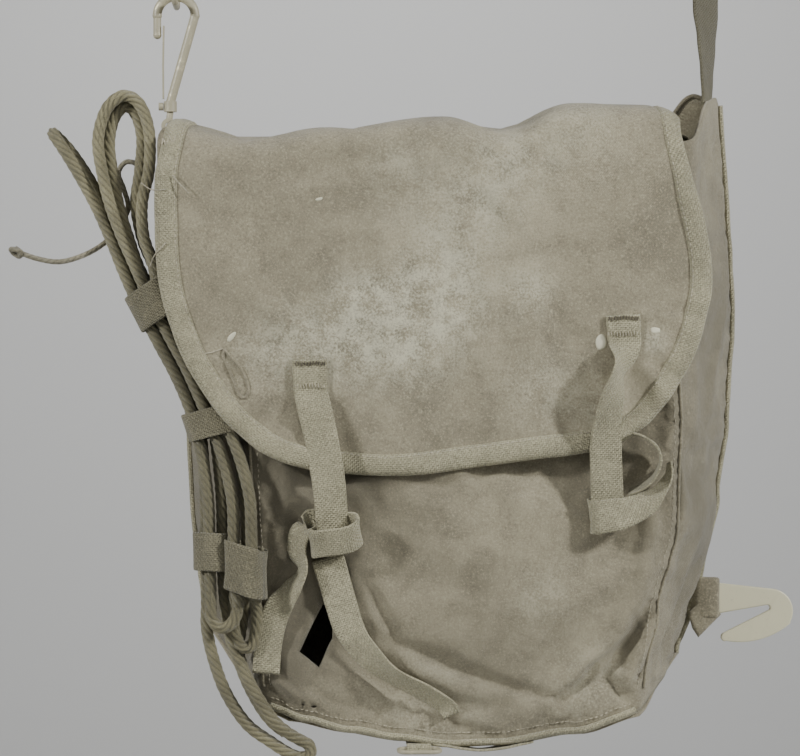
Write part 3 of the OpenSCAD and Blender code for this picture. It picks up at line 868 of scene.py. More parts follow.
def keeper(name, at, half, width, slant, offset=0.0):
    """A webbing loop round the hank at a place along it; half is half the size of what it holds."""
    centre, way, p, q = hank_frame(at)
    centre = centre + p * offset
    points = []
    for k in range(48):
        a = 2 * math.pi * k / 48
        c, s = math.cos(a), math.sin(a)
        x = squarish(c, 0.8) * (half[0] + 1.6)
        y = squarish(s, 0.8) * (half[1] + 1.6)
        wave = 0.5 * math.sin(3 * a + at)
        points.append(centre + p * (x + wave) + q * (y + wave) + way * slant * c)
    # The keepers take the darker webbing: partly grime, partly painted shade
    obj = tape(name, points, [way], width, GRIME_AND_SHADE_WEBBING, thick=1.7, closed=True)
    fit(obj, "webbing", "hank_" + name)


def add_keepers():
    keeper("keeper_upper", 6.5, (15.5, 12), 28, 2.0)
    keeper("keeper_middle", 3.66, (18.5, 10.5), 21, -2.0)
    keeper("keeper_lower_left", 0.92, (10.6, 9.4), 28, -1.0, -13.0)
    keeper("keeper_lower_right", 0.58, (11.9, 10.2), 35, -5.0, 12.9)


# ---------------------------------------------------------------- flap

# The cut size in metres, the height where the flap turns over the top, and its line (y, z) from there
FLAP_TOP = 427
FLAP_PROFILE = [(-62.5, 427), (-62, 439), (-57, 448), (-46, 454), (-24, 457.5), (8, 457), (37, 453.5),
                (51, 451), (55, 445), (55.5, 430)]

# How far the flap's top rises and dips across its width
TOP_WAVE = [(-210, -4), (-150, -12), (-84, -4), (-4, 3), (33, -4), (88, 12), (142, 10), (170, 0)]

# The flap's cut: across, and up the front and on over the top
FLAP_OUTLINE = [(-188, 576), (-193, 560), (-204, 500), (-209, 455), (-214, 415), (-213, 350), (-206, 313),
                (-194, 281), (-178, 254), (-160, 232), (-135, 213), (-108, 204), (-75, 200), (-40, 199),
                (10, 205), (55, 211), (90, 215), (113, 220), (133, 230), (150, 247), (165, 268), (178, 296),
                (186, 330), (186, 352), (181, 379), (176.5, 398), (171.5, 420), (167, 440), (164, 470),
                (163, 520), (163, 576)]

# Patches of pale crust and of wear on the flap: x, height, radius and strength
STAINS = [(-73, 300, 30, 0.9), (-60, 318, 24, 0.8), (-36, 296, 30, 0.9), (-15, 318, 30, 0.8),
          (0, 340, 30, 0.6), (20, 395, 34, 0.5), (40, 430, 30, 0.5), (-110, 292, 26, 0.5),
          (-140, 285, 24, 0.4), (55, 332, 16, 0.7), (-20, 372, 28, 0.35), (60, 262, 24, 0.4),
          (100, 250, 24, 0.35), (146, 295, 8, 0.8), (90, 440, 30, 0.4), (-40, 420, 24, 0.3)]
WORN_PATCHES = [(40, 420, 80, 0.8), (-60, 310, 70, 0.7), (110, 230, 50, 0.7), (0, 330, 60, 0.5)]

# The folded binding's section: how far in from the flap's edge, and how far off the cloth
BINDING_SECTION = [(14.6, 0.1), (14.2, 1.1), (11, 2.2), (6.5, 2.9), (2, 2.4), (-0.9, 1.0), (-1.7, -0.9),
                   (-1.2, -2.4), (1, -3.4), (5, -3.2), (11, -3.3), (14.2, -3.0), (14.6, -1.9)]
STITCH_INSET = 12.9


PROFILE = smooth_line([(y, z, 0) for y, z in FLAP_PROFILE], 2.0)[0][:, :2]
PROFILE_RUN = distance_along(PROFILE) + FLAP_TOP


def flap_place(x, t):
    """Where pattern spot (x, t) of the flap lies; t is its height in front, and its run over the top."""
    if t <= FLAP_TOP:
        y, z = FLAP_Y, t
    else:
        y = np.interp(t, PROFILE_RUN, PROFILE[:, 0])
        z = np.interp(t, PROFILE_RUN, PROFILE[:, 1])
    fade = table([(385, 0.0), (440, 1.0), (520, 1.0), (562, 0.0)], t)
    z += table(TOP_WAVE, x) * fade
    y += 1.3 * noise.noise((x / 45, t / 45, 0.3)) + 0.6 * noise.noise((x / 14, t / 14, 5.1))
    y -= ridge(x, t, (-150, 395), (-60, 415), 9, 2.0) + ridge(x, t, (-60, 412), (30, 440), 10, 2.4)
    y -= ridge(x, t, (-150, 300), (20, 390), 30, 2.0)
    y += ridge(x, t, (70, 400), (90, 240), 22, 1.6)
    return x, y, z


def flap_held(x, t):
    """How firmly a pattern spot is held while the flap settles."""
    if t > 520:
        return 1.0
    for cx, cz in ((-105.8, 268), (123, 300)):
        if abs(x - cx) < 20 and abs(t - cz) < 22:
            return 1.0
    return 0.0


def add_flap():
    flap = Cloth(round_loop(FLAP_OUTLINE), flap_place, 5.0)
    flap.settle("flap_settling", flap_held, 0.022, 4.0)
    obj = flap.make("flap_cloth", pale=STAINS, worn=WORN_PATCHES)
    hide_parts("flap_canvas")
    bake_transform(obj)
    return flap


def along_edge(loop, start, end, step):
    """Spots along part of an outline, with the direction into the cloth."""
    line = smooth_line([(*p, 0) for p in loop[start:end]], step)[0][:, :2]
    ways = np.gradient(line, axis=0)
    ways /= np.linalg.norm(ways, axis=1)[:, None]
    return line, np.column_stack([-ways[:, 1], ways[:, 0]])


def add_flap_binding(flap):
    """The tape folded over the flap's edge, and the row of stitches that holds it."""
    line, inward = along_edge(FLAP_OUTLINE, 1, -1, 3.0)
    rings = []
    uvs = []
    run = 0.0
    for i, (spot, way) in enumerate(zip(line, inward)):
        run += np.linalg.norm(line[i] - line[i - 1]) if i else 0.0
        ring = []
        for inset, lift in BINDING_SECTION:
            place = flap.at(*(spot + way * max(inset, 0.5)), lift)
            edge = flap.at(*(spot + way * 0.5), lift)
            over = flap.at(*(spot + way * 4), lift)
            ring.append(place + (edge - over) / 3.5 * (0.5 - min(inset, 0.5)))
            uvs.append((inset / 1000, run / 1000))
        rings.append(ring)
    obj = loft("flap_binding_tape", rings, WEBBING, uvs)
    fit(obj, "webbing", "flap_binding", body="flap")
    line, inward = along_edge(FLAP_OUTLINE, 1, -1, 4.2)
    holes = [flap.at(*(spot + way * STITCH_INSET), 1.5) for spot, way in zip(line[1:], inward[1:])]
    spots = [(here, there - here) for here, there in zip(holes, holes[1:])]
    fit(stitches("flap_binding_stitches", spots, THREAD, 2.8, 0.9), "webbing", body="flap")


def over_cloth(cloth, spots, lift):
    """Points in millimetres that lie lift off a cloth, over pattern spots."""
    points = [cloth.at(x, y, lift) for x, y in spots]
    return [(x * 1000, y * 1000 + STRAP_Y, z * 1000 + STRAP_CREST) for x, y, z in points]


def bar_tack(name, flap, centre, width, row, slant, material):
    """A row of stitches across the sewn end of a strap."""
    spots = []
    for k in range(int(width / 2.1)):
        x = centre - width / 2 + 1.6 + k * 2.1
        uneven = 1.2 * noise.noise((x / 3, row, 0.5))
        here = flap.at(x, row + uneven, 3.3)
        there = flap.at(x + slant, row + 3 + uneven, 3.3)
        spots.append(((here + there) / 2, there - here))
    fit(stitches(name, spots, material, 3.6, 0.8), "webbing", body="flap")


def add_flap_straps(flap):
    """Each strap starts sewn to the flap and hangs free below."""
    path = over_cloth(flap, [(-106, 282), (-105.6, 270), (-105, 258)], 2.0)
    path += [(-102.5, -68.2, 246), (-98, -68.6, 226), (-94.5, -69.4, 207), (-92, -70, 190),
             (-90.5, -68.5, 174), (-89.5, -67.2, 160), (-89, -66.5, 148)]
    sides = [(1, 0, 0.1), (1, 0.1, 0.06), (1, -0.25, 0), (1, 0.12, 0), (1, 0.1, -0.05)]
    left = tape("strap_left_tape", path, sides, [25.5, 25, 25, 24, 22], WEBBING)
    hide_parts("strap_base_left", "flap_strap_left")
    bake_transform(left)
    path = over_cloth(flap, [(123, 314), (123.5, 303), (124, 292)], 2.0)
    path += [(121.5, -70.5, 281), (117.5, -74.5, 268), (114, -74.0, 253), (111, -70.4, 236),
             (110, -68.4, 215), (110.8, -67.6, 192), (111.5, -67.2, 172)]
    sides = [(1, 0, 0), (1, 0.05, 0), (0.46, 0.88, 0), (0.86, 0.5, 0), (1, 0.1, 0), (1, 0, 0)]
    right = tape("strap_right_tape", path, sides, [25.5, 25, 22, 23, 24, 24, 24], WEBBING)
    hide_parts("strap_base_right", "flap_strap_right")
    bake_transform(right)
    bar_tack("strap_left_tacks", flap, -105.5, 25, 277, 0.6, DARK_THREAD)
    bar_tack("strap_left_stitching", flap, -105.5, 25, 261, -0.5, THREAD)
    bar_tack("strap_right_tacks", flap, 123.3, 25, 310, 0.5, DARK_THREAD)
    bar_tack("strap_right_stitching", flap, 123.3, 25, 299, -0.4, THREAD)


# Marks on the flap: a darned slit, drops of paint (x, z, half width, half height, turn) and loose threads
DARN = [(-167, 289), (-162, 283), (-156, 276), (-151.5, 267), (-150, 259), (-153, 254), (-157, 257),
        (-160, 265), (-164, 275), (-168, 284)]
DARN_THREAD = [(-187, 287), (-179, 286.3), (-173, 288), (-168, 290)]
DROPS = [(-162, 298, 1.9, 4.2, -0.7), (107, 294, 4.2, 6.2, 0.1), (147, 303, 3.4, 2.4, 0.0),
         (-98, 397, 2.6, 1.3, 0.3)]
LOOSE_THREADS = [[(-205, -66.8, 415), (-201, -67.8, 410), (-197, -68.4, 406), (-193.5, -67.6, 402)],
                 [(-228, -56, 410), (-222, -62, 405.5), (-216, -66, 404.2), (-210, -67, 404.8)],
                 [(-222, -58, 349), (-218.5, -62.5, 357), (-214, -66, 362), (-210, -67, 366.5)]]
CORNER_TACKS = [(-214, 441), (-211, 446), (-208, 440), (-206, 447), (-203, 442), (-201, 448)]


def paint_drop(flap, number, x, z, wide, tall, turn):
    """A flat, uneven drop of paint on the flap."""
    rings = []
    for size, lift in ((1.0, -0.4), (1.0, 0.2), (0.75, 0.6), (0.3, 0.75)):
        ring = []
        for k in range(14):
            a = 2 * math.pi * k / 14
            r = size * (1 + 0.25 * noise.noise((math.cos(a) * 1.5, math.sin(a) * 1.5, (number - 1) * 3.7)))
            u = wide * r * math.cos(a)
            v = tall * r * math.sin(a)
            spot = (x + u * math.cos(turn) - v * math.sin(turn), z + u * math.sin(turn) + v * math.cos(turn))
            ring.append(flap.at(*spot, lift))
        rings.append(ring)
    return loft("paint_drop_%d" % number, rings, PAINT)


def add_flap_marks(flap):
    """The small marks of wear on the flap."""
    pieces = [paint_drop(flap, number, *drop) for number, drop in enumerate(DROPS, 1)]
    lip = over_cloth(flap, DARN + DARN[:1], 0.4)
    pieces.append(tube("darned_slit", lip, 2.2, CANVAS, step=1.5, ring=10))
    pieces.append(tube("darning_thread", over_cloth(flap, DARN_THREAD, 0.5), 0.9, THREAD, step=1.0, ring=8))
    for number, route in enumerate(LOOSE_THREADS, 1):
        pieces.append(tube("loose_thread_%d" % number, route, 0.9, THREAD, step=1.0, ring=8))
    holes = [flap.at(x, t, 2.6) for x, t in CORNER_TACKS]
    spots = [((here + there) / 2, there - here) for here, there in zip(holes, holes[1:])]
    pieces.append(stitches("corner_tacks", spots, THREAD, 5.5, 1.3))
    for piece in pieces:
        fit(piece, "canvas", body="flap")


def add_left_knot():
    """The left strap's knot: a turn of its own tape round the strap, and the tail that comes out behind."""
    tilt = math.radians(8)
    lean = math.radians(25)
    axis = unit(np.array([-math.sin(tilt), -math.sin(lean), math.cos(tilt)]))
    wide = unit(np.array([math.cos(tilt), 0, math.sin(tilt)]))
    deep = np.cross(axis, wide)
    centre = np.array([-87.5, -68.0, 153])
    points = []
    for k in range(48):
        a = 2 * math.pi * k / 48
        c, s = math.cos(a), math.sin(a)
        rise = 3 * c + 1.5 * math.sin(2 * a)
        points.append(centre + wide * squarish(c, 0.85) * 18 + deep * s * 9 + axis * rise)
    ring = tape("strap_left_knot", points, [axis], 22, WEBBING, thick=2.0, closed=True)
    fit(ring, "webbing", "strap_knot_left", body="strap_left")
    path = [(-93, -63.5, 158), (-103, -61.5, 163), (-112, -61, 157), (-115.5, -61.5, 143), (-111, -63, 128),
            (-120, -62, 113), (-130.5, -60, 97), (-136, -59, 75), (-138, -58.5, 52)]
    sides = [(0.5, 0.1, 0.9), (0.6, 0, 0.8), (0.8, -0.3, 0.5), (0.8, -0.5, 0), (0.35, -0.85, 0),
             (0.8, -0.45, 0.35), (0.95, -0.1, 0.2), (1, 0, 0), (1, 0, -0.1)]
    tail = tape("strap_left_tail", path, sides, [20, 20, 18, 16, 16, 18, 20, 20, 20], WEBBING)
    fit(tail, "webbing", "strap_tail_left", body="strap_left")


def add_right_band():
    """The right strap's end: its tape folds round it, and the slack stands out as a loop."""
    path = [(158, -60, 206), (157, -63, 197), (151, -67, 187), (141, -71, 178), (128, -74, 171.5),
            (114, -74.5, 168), (104, -73, 166.5), (99.5, -69.5, 166.5), (100.5, -64.6, 168),
            (112, -62.4, 171), (124, -62.2, 174)]
    sides = [(-0.2, 0.95, 0.1), (-0.3, 0.75, 0.5), (-0.3, 0.3, 1), (-0.12, 0.05, 1), (-0.05, 0.1, 1),
             (-0.1, 0, 1)]
    band = tape("strap_right_band", path, sides, [8, 11, 20, 24, 25, 25, 24], WEBBING)
    path = [(128, -62, 184), (137, -65, 188), (146, -67, 196), (150.5, -68, 208), (147.5, -68, 218),
            (138, -66.5, 225), (131, -65, 227)]
    sides = [(0.1, 1, 0.25), (0.1, 1, 0.1), (0.1, 1, -0.1)]
    loop = tape("strap_right_loop", path, sides, [14, 18, 17, 15], WEBBING)
    fit(band, "webbing", "strap_band_right", body="strap_right")
    fit(loop, "webbing", "strap_loop_right", body="strap_right")


def add_tie_tape():
    """The tape that climbs the front panel from its sewn end at the foot."""
    path = [(-93, -60, 137), (-84, -60, 106), (-76.6, -61, 84), (-64, -63, 66), (-46, -63.5, 51),
            (-22, -61, 38), (-6, -57, 27), (-2, -55.5, 20)]
    sides = [(0.93, 0.05, 0.37), (0.9, 0, 0.45), (0.6, -0.3, 0.7), (0.3, -0.7, 0.6), (0.25, -0.5, 0.8),
             (0.5, 0, 0.85)]
    tie = tape("tie_tape_strip", path, sides, [24, 23, 21, 18, 15, 13], WEBBING)
    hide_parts("tie_tape", "tie_tape_anchor")
    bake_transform(tie)


# ---------------------------------------------------------------- bag

# Half the front panel and one side panel, measured round the bag, and what the two sides are called
FRONT_C = 155
SIDE_C = 106
SIDES = ((-1, "left"), (1, "right"))

# How high the foot lies across the front, and at each rear corner
BOTTOM_SAG = [(-150, 34), (-135, 26), (-113, 16), (-75, 7), (-40, 1), (-4, -4), (30, -3), (88, 5), (135, 18),
              (150, 30)]
REAR_RISE = {1: 52, -1: 72}

# The rear edges' half widths at heights up the bag, and how far each side panel bulges
REAR_EDGE = {1: [(0, 180), (72, 189), (110, 199), (178, 212), (230, 218), (325, 222.5), (370, 221),
                 (445, 212.5)],
             -1: [(0, 176), (60, 184), (91, 187), (180, 196), (325, 204), (445, 202)]}
BELLY = {1: [(0, 2), (60, 3), (180, 3), (325, 3), (440, 1)],
         -1: [(0, 2), (90, 5), (200, 7), (325, 6), (440, 1)]}

# How far the mouth's right rear corner stands up, on the side panel and on the back
PEAK = [(145, 4), (215, 38), (245, 42), (261, 38)]
BACK_PEAK = [(156, 0), (192, 39), (212, 33)]

# Where what is inside pushes the front out: round the bag, up, radius and height
STUFFED = [(40, 125, 80, 6.0), (-10, 150, 60, 2.0), (110, 120, 40, 2.5)]

# Folds in the wall: from, to, half width and height, round the bag and up
FOLDS = [
    ((151, 98), (120, 34), 5.5, -8.0), ((156, 92), (139, 22), 5, 7.0), ((130, 84), (84, 38), 6, 5.5),
    ((134, 70), (88, 26), 5, -4.5), ((120, 42), (148, 6), 3.5, -4.5), ((140, 100), (128, 190), 9, 3.0),
    ((-72, 122), (-44, 70), 5, -4.5), ((-50, 76), (66, 36), 6, -5.0), ((-44, 60), (30, 34), 8, 4.0),
    ((-90, 60), (-60, 24), 7, 3.5), ((-150, 30), (-90, 12), 6, 3.0), ((-145, 60), (-120, 150), 8, 3.0),
    ((-120, 190), (-40, 210), 9, -2.5), ((20, 190), (100, 150), 12, 3.0), ((-20, 30), (40, 14), 5, 3.0),
    ((170, 60), (200, 180), 9, 4.5), ((184, 30), (214, 130), 8, -4.0), ((214, 60), (240, 170), 8, 3.5),
    ((165, 215), (190, 320), 10, 2.5), ((-200, 100), (-180, 260), 10, 3.0), ((-235, 60), (-200, 140), 9, 3.0),
    ((210, 240), (235, 380), 9, 3.0),
]

# Holes in the wall: the tear in the front, two gaps in the right seam, and small worn holes
TEAR = [(-104, 101), (-96, 87), (-96, 74), (-108, 49), (-123.5, 62), (-111, 88)]
SEAM_GAPS = [[(156.5, 161), (159, 176), (159.5, 192), (157, 206), (156, 190)],
             [(148, 30), (153, 43), (160, 62), (157, 48)]]
PIN_HOLES = [[(-125, 14.6), (-123, 13.6), (-121, 14.6), (-123, 15.4)],
             [(-117, 14), (-114, 13), (-111.5, 14.5), (-114, 15.9)]]

# Patches of wear, of pale dust, and of darkening that is partly grime and partly painted shade: round the
# bag, up, radius and strength
WALL_WORN = [(20, 120, 80, 0.6), (120, 60, 50, 0.8), (150, 150, 40, 0.6), (0, 20, 60, 0.6)]
# Painted shade in the darkening: the left side panel in shade behind the rope (-215), the shadows cast by the
# two straps just below the flap (-60 and 100), and the creases of the folds at the lower right (94 to 142).
# Partly grime and partly painted shade: the right side panel and the left of the front.
WALL_GRIME_AND_SHADE = [(225, 130, 80, 0.9), (225, 320, 110, 0.9), (-215, 200, 150, 1.2), (-215, 30, 90, 1.0),
              (-215, 390, 80, 1.0), (-122, 190, 40, 0.9), (-118, 140, 38, 0.8), (-60, 210, 30, 0.6),
              (100, 205, 30, 0.6), (20, 55, 50, 0.5), (-120, 60, 30, 0.5), (142, 80, 8, 0.8),
              (135, 64, 8, 0.9), (126, 48, 8, 0.8), (108, 54, 7, 0.4), (94, 40, 7, 0.4), (190, 190, 40, 0.5)]
WALL_PALE = [(-20, 20, 40, 0.3), (60, 110, 20, 0.3), (110, 40, 30, 0.3)]


def rear_edge(side, z):
    return table(REAR_EDGE[side], z)


def bottom_z(x):
    return table(BOTTOM_SAG, x)


def wall_point(c, z):
    """A spot on the U of front and side panels: c runs round it, z up, before its corners soften."""
    left = np.array([front_edge(-1, z), -51.5])
    right = np.array([front_edge(1, z), -51.5])
    side = 1 if c > 0 else -1
    corner = right if c > 0 else left
    rear = np.array([side * (rear_edge(side, z) - 1), 50.5])
    if abs(c) <= FRONT_C:
        return left + (right - left) * (c + FRONT_C) / (2 * FRONT_C)
    share = min(1.0, (abs(c) - FRONT_C) / SIDE_C)
    spot = corner + (rear - corner) * share
    spot[0] += side * table(BELLY[side], z) * math.sin(math.pi * share**1.3)
    return spot


def wall_place(c, z):
    """Where spot (c, z) of the wall lies, with rounded corners, folds and a sagging foot."""
    soft = 7 if abs(c) < FRONT_C + SIDE_C - 12 else 0
    spot = (wall_point(c - soft, z) + 2 * wall_point(c, z) + wall_point(c + soft, z)) / 4
    x, y = spot
    front = table([(FRONT_C - 14, 1.0), (FRONT_C + 10, 0.0)], abs(c))
    side = 1 - front
    foot = table([(0, 1.0), (150, 0.0)], z)
    share = min(1.0, max(0.0, (abs(c) - FRONT_C) / SIDE_C))
    rise = bottom_z(x) * front + (24 + (REAR_RISE[1 if c > 0 else -1] - 24) * share) * side
    z_out = z + rise * foot * max(0.0, 1 - z / 150)
    bulge = 1.6 * noise.noise((c / 60, z / 60, 2.2)) + 0.8 * noise.noise((c / 17, z / 17, 7.7))
    bulge += mounds(STUFFED, c, z)
    for start, end, width, height in FOLDS:
        bulge += ridge(c, z, start, end, width, height)
    y -= bulge * front
    x += bulge * side * (1 if c > 0 else -1)
    if c > 0 and z > 380:
        z_out += table(PEAK, c) * (z - 380) / 60
    return x, y, z_out


def wall_held(c, z):
    if z < 6 or z > 420 or abs(c) > FRONT_C + SIDE_C - 6:
        return 1.0
    return 0.9 if abs(abs(c) - FRONT_C) < 5 else 0.0


def add_wall():
    """The front and both side panels, in one piece round the bag."""
    end = FRONT_C + SIDE_C
    outline = [(-end, 0), (end, 0), (end, 440), (FRONT_C, 438), (-FRONT_C, 438), (-end, 440)]
    wall = Cloth(outline, wall_place, 4.8, holes=[TEAR] + SEAM_GAPS + PIN_HOLES)
    wall.settle("wall_settling", wall_held, 0.03, 7.0)
    obj = wall.make("bag_wall", thick=2.2, worn=WALL_WORN, grime=WALL_GRIME_AND_SHADE, pale=WALL_PALE)
    fit(obj, "canvas", "front_panel", "left_gusset", "right_gusset", "mouth_hem")
    return wall


def back_place(x, z):
    y = 51.4 + 0.8 * noise.noise((x / 50, z / 50, 9.0)) + 0.4 * noise.noise((x / 15, z / 15, 3.0))
    return x, y, z + table(BACK_PEAK, x) * max(0, z - 380) / (BAG_H - 380)


def back_held(x, z):
    return 1.0 if z > 430 or z < 12 or abs(x) > rear_edge(1 if x > 0 else -1, z) - 8 else 0.0


def add_back():
    """The back panel and the roll along its upper edge."""
    right = [(108, 8), (136, 17), (156, 34), (171, 48)]
    right += [(rear_edge(1, z) - 2, z) for z in (110, 178, 230, 325, 370, BAG_H)]
    left = [(-108, 8), (-134, 22), (-154, 46), (-169, 66)]
    left += [(2 - rear_edge(-1, z), z) for z in (120, 180, 325, BAG_H)]
    outline = right + left[::-1]
    back = Cloth(outline, back_place, 7.0)
    back.settle("back_settling", back_held, 0.02, 1.6)
    grime = [(0, 60, 90, 0.5), (-60, 300, 60, 0.4)]
    fit(back.make("back_cloth", thick=2.2, grime=grime, worn=[(60, 200, 80, 0.6)]), "canvas", "back_panel")
    fit(tube("back_mouth_roll", [back_place(x, BAG_H) for x in range(-198, 211, 6)], 3.6, CANVAS), "canvas")


def floor_place(x, y):
    share = (y + 50) / 100
    rear = table([(100, 5), (181, REAR_RISE[1 if x > 0 else -1])], abs(x))
    rise = bottom_z(x * 0.95) * (1 - share) + rear * share
    return x, y, rise + 1.5 + noise.noise((x / 30, y / 30, 1.0))


def add_floor():
    outline = [(-137, -50), (137, -50), (181, 49), (-181, 49)]
    fit(Cloth(outline, floor_place, 8.0).make("bottom_cloth"), "canvas", "bottom_panel")


def add_seams(wall):
    """The rolled hem along the foot, the piping down the rear seams, and the welts down the front corners."""
    foot = over_cloth(wall, [(c, 3) for c in range(-150, 151, 12)], 1.6)
    fit(tube("foot_hem", foot, 5.2, WEBBING), "webbing", "bottom_hem")
    for side, name in SIDES:
        rear = side * (FRONT_C + SIDE_C - 1)
        line = over_cloth(wall, [(rear, z) for z in [*range(0, 434, 14), 439]], 1.4)
        fit(tube(name + "_rear_piping", line, 4.2, WEBBING), "webbing", name + "_seam_piping")
    starts = [(c, z, 0, 2) for c in (-FRONT_C + 6, FRONT_C - 6) for z in range(24, 420, 4)]
    starts += [(c, 10, 2, 0) for c in range(-148, 148, 4)]
    spots = []
    for c, z, across, up in starts:
        here = wall.at(c, z, 0.3)
        spots.append((here, wall.at(c + across, z + up, 0.3) - here))
    fit(stitches("wall_stitches", spots, THREAD, 2.4, 0.8), "webbing")
    for side, name in SIDES:
        line = over_cloth(wall, [(side * FRONT_C, z) for z in range(20, 425, 9)], 0.5)
        fit(tube(name + "_front_welt", line, 2.6, CANVAS, ring=8), "canvas")


# ---------------------------------------------------------------- shoulder strap and hardware

# Where the strap's end ring hangs, where the right leg rises, where the arch begins, and the fold at the ring
RING_X = -207.5
LEG_X = 202
LEG_Z = 600
FOLD_R = 4
FOLD_Z = 579
STRAP_T = 2.4
STRAP_W = 32


def strap_route():
    """The shoulder strap's line in the plane behind the bag, from its sewn end over the crest to the ring."""
    rise = STRAP_CREST + STRAP_T / 2 - LEG_Z
    reach = -(RING_X + FOLD_R)
    layer = STRAP_T + 0.6
    path = [(190, 45, 388), (193, 43, 412), (197, 41, 438), (200, 39.5, 460), (201, 40, 480),
            (201.5, 43.5, 500), (LEG_X, 49, 525), (LEG_X, 53, 550), (LEG_X, STRAP_Y, 575)]
    for half, turns in ((LEG_X, range(0, 91, 10)), (reach, range(100, 181, 10))):
        path += [(half * math.cos(a), STRAP_Y, LEG_Z + rise * math.sin(a)) for a in np.radians(turns)]
    path += [(RING_X + FOLD_R, STRAP_Y, FOLD_Z + 10)]
    path += [(RING_X + FOLD_R * math.cos(a), STRAP_Y, FOLD_Z + FOLD_R * math.sin(a))
             for a in np.radians(range(0, -181, -30))]
    path += [(RING_X - FOLD_R, STRAP_Y, FOLD_Z + 6), (-reach - layer - 0.8, STRAP_Y, LEG_Z - 6),
             (-reach - layer, STRAP_Y, LEG_Z + 6), (-reach - layer + 1.0, STRAP_Y, LEG_Z + 26)]
    return path


# How far the strap's right leg is turned at each height: 0 is flat on the back, 90 is edge on
LEG_TURN = [(388, 0), (430, 40), (470, 66), (500, 62), (560, 44), (640, 44), (770, 90)]


def add_shoulder_strap():
    """The shoulder strap, narrowed where its right leg turns, and the stitches above its fold."""
    path = strap_route()
    sides = []
    widths = []
    for x, y, z in path:
        angle = math.radians(table(LEG_TURN, z) if x > 100 else 90)
        sides.append((math.cos(angle), math.sin(angle), 0))
        widths.append(table([(440, 20), (560, STRAP_W)], z) if x > 100 else STRAP_W)
    # The strap takes the darker webbing and is darkened all over besides: partly grime, partly painted shade
    obj = tape("shoulder_strap_tape", path, sides, widths, GRIME_AND_SHADE_WEBBING, thick=STRAP_T, step=2.5)
    paint(obj, "grime", [1.0] * len(obj.data.vertices))
    fit(obj, "webbing", "shoulder_strap", "strap_anchor")
    x = RING_X - FOLD_R + 0.7
    rows = [(k, z) for z in (LEG_Z - 2, LEG_Z + 18) for k in range(-6, 7)]
    spots = [(bag(x, STRAP_Y + k * 2.2, z), (0, 1, 0)) for k, z in rows]
    fit(stitches("shoulder_strap_stitches", spots, THREAD, 1.8, 0.9), "webbing")


def soften(mesh, angle):
    """Smooth shading, but for edges sharper than an angle in degrees."""
    mesh.polygons.foreach_set("use_smooth", [True] * len(mesh.polygons))
    mesh.set_sharp_from_angle(angle=math.radians(angle))


def add_hardware():
    """The hard parts keep their CAD shape."""
    for node in ("corner_link", "strap_end_ring", "snap_hook_body", "snap_rivet", "snap_gate", "bottom_ring"):
        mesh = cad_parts[node].data
        mesh.materials.clear()
        mesh.materials.append(METAL)
        soften(mesh, 35)


TAB_OUTLINE = [(-222, 430), (-199, 424), (-192, 440), (-199, 456), (-211, 461), (-221, 453)]


def add_corner_tab():
    """The reinforced tab behind the flap's upper left corner, with the hole that its link goes through."""
    hole = [(-213 + 3.2 * math.cos(a), 445 + 3.2 * math.sin(a)) for a in np.radians(range(0, 360, 36))]

    def place(x, z):
        return x, 51.5 + 0.8 * noise.noise((x / 9, z / 9, 4.0)), z

    tab = Cloth(round_loop(TAB_OUTLINE, 3), place, 2.5, holes=[hole])
    fit(tab.make("corner_tab_cloth", thick=3.2), "canvas", "corner_tab")


HOOK_Y = 45
HOOK_T = 4
HOOK_TURN = math.radians(-3.5)


def arc(centre, radius, start, end, count):
    """Points of an arc between two angles in degrees."""
    return [(centre[0] + radius * math.cos(a), centre[1] + radius * math.sin(a))
            for a in np.radians(np.linspace(start, end, count))]


def hook_spot(x, z):
    """A point of the hook's outline, turned a little so that the hook droops from its sleeve."""
    out, up = x - 205, z - 95
    return (205 + out * math.cos(HOOK_TURN) - up * math.sin(HOOK_TURN),
            93.5 + out * math.sin(HOOK_TURN) + up * math.cos(HOOK_TURN))


def add_side_hook():
    """The flat cream hook, with rounded rims."""
    outline = [(203.9, 109)] + arc((253, 89), 17.5, 84, -24, 14) + arc((227, 124), 60.5, -46, -97, 12)
    outline += arc((219, 67.1), 3.6, 262, 110, 8) + arc((250, 91.5), 2.2, -60, 105, 8) + [(203.9, 83)]
    outline = [hook_spot(x, z) for x, z in outline]
    bm = bmesh.new()
    front = [bm.verts.new(bag(x, HOOK_Y - HOOK_T / 2, z)) for x, z in outline]
    back = [bm.verts.new(bag(x, HOOK_Y + HOOK_T / 2, z)) for x, z in outline]
    bm.faces.new(front)
    bm.faces.new(back[::-1])
    rims = list(bm.edges)
    for a, b, c, d in zip(front, back, back[1:] + back[:1], front[1:] + front[:1]):
        bm.faces.new((a, b, c, d))
    bmesh.ops.recalc_face_normals(bm, faces=bm.faces)
    bmesh.ops.bevel(bm, geom=rims, offset=0.0012, segments=3, profile=0.6, affect="EDGES")
    obj = from_bmesh("side_hook_plate", bm)
    soften(obj.data, 50)
    obj.data.materials.append(CREAM)
    fit(obj, "cream_plastic", "side_hook", body="side_hook")


def tuck_place(x, z):
    return x, 40.2 + 0.10 * (z - 65) + 0.6 * noise.noise((x / 6, z / 6, 2.0)), z


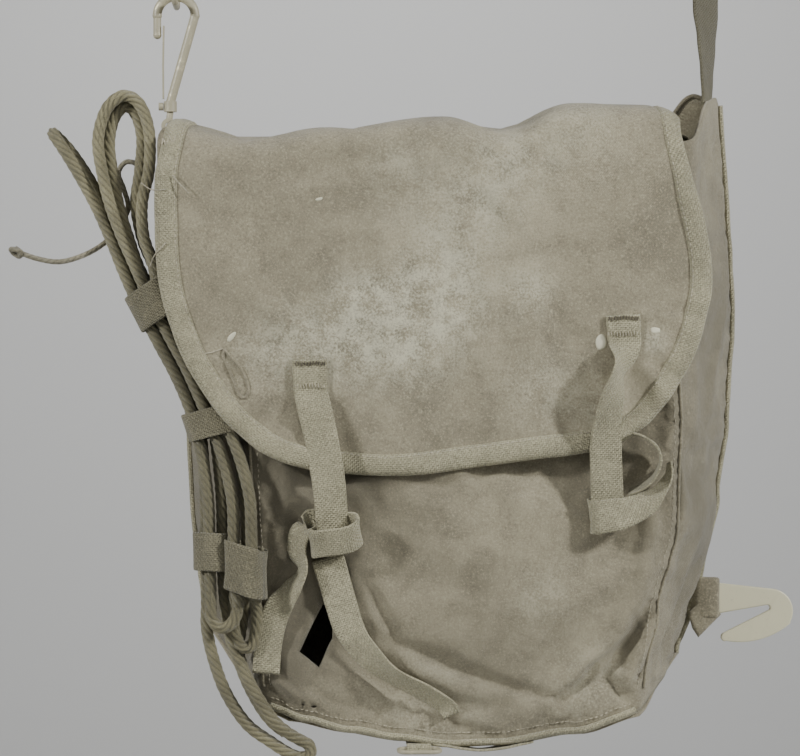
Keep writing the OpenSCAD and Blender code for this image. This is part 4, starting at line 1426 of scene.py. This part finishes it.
def add_hook_sleeve():
    """The sleeve that holds the hook to the bag, and its folded corner."""
    turns = [(186, 50.8), (191, 48.2), (196, 43.4), (204, 41.7), (210.8, 42.0), (211.8, 45), (210.8, 48.0),
             (204, 48.6), (196, 47.9), (189, 49.6)]
    path = [(x, y, 95.5) for x, y in turns]
    sleeve = tape("side_hook_webbing", path, [(0, 0, 1)], [34, 31, 30, 31, 34], CANVAS, thick=1.7, step=1.5)
    tuck = Cloth([(188, 84), (191, 72), (195.5, 65), (213.5, 82.5), (208, 92), (197, 92)], tuck_place, 3.0)
    fold = tuck.make("side_hook_tuck", thick=1.7)
    for piece in (sleeve, fold):
        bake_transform(piece)
    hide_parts("side_hook_sleeve", "side_hook_stub")
    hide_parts("side_hook_fold")


def add_foot_pieces():
    """The tab that holds the bottom ring, and the loose loop beside it."""
    bar = (-56, -4)
    path = [(-26, -40, -1.0), (-26, -50, -1.2)]
    turns = np.radians(range(90, 271, 30))
    path += [(-26, bar[0] + 2.7 * math.cos(a), bar[1] + 2.7 * math.sin(a)) for a in turns]
    path += [(-26, -50, -6.4), (-26, -40, -5.6)]
    tab = tape("bottom_tab_tape", path, [(1, 0, 0)], 18, WEBBING, thick=1.6, step=1.0)
    path = [(-14, -46, 0), (-6, -48, -1.6), (6, -49, -4.6), (20, -49, -6.4), (36, -48, -4.6), (48, -46, -1.2),
            (56, -44, 1)]
    loop = tape("bottom_loop_tape", path, [(0, 1, 0.15), (0, 1, -0.1), (0, 1, 0.2)], 20, WEBBING, step=2.0)
    fit(tab, "webbing", "bottom_tab")
    fit(loop, "webbing", "bottom_loop")


# ---------------------------------------------------------------- all together

add_camera()
add_rope()
add_thin_cord()
add_keepers()
flap_cloth = add_flap()
add_flap_binding(flap_cloth)
add_flap_straps(flap_cloth)
add_flap_marks(flap_cloth)
add_left_knot()
add_right_band()
add_tie_tape()
wall_cloth = add_wall()
add_back()
add_floor()
add_seams(wall_cloth)
add_shoulder_strap()
add_hardware()
add_corner_tab()
add_side_hook()
add_hook_sleeve()
add_foot_pieces()
add_studio()
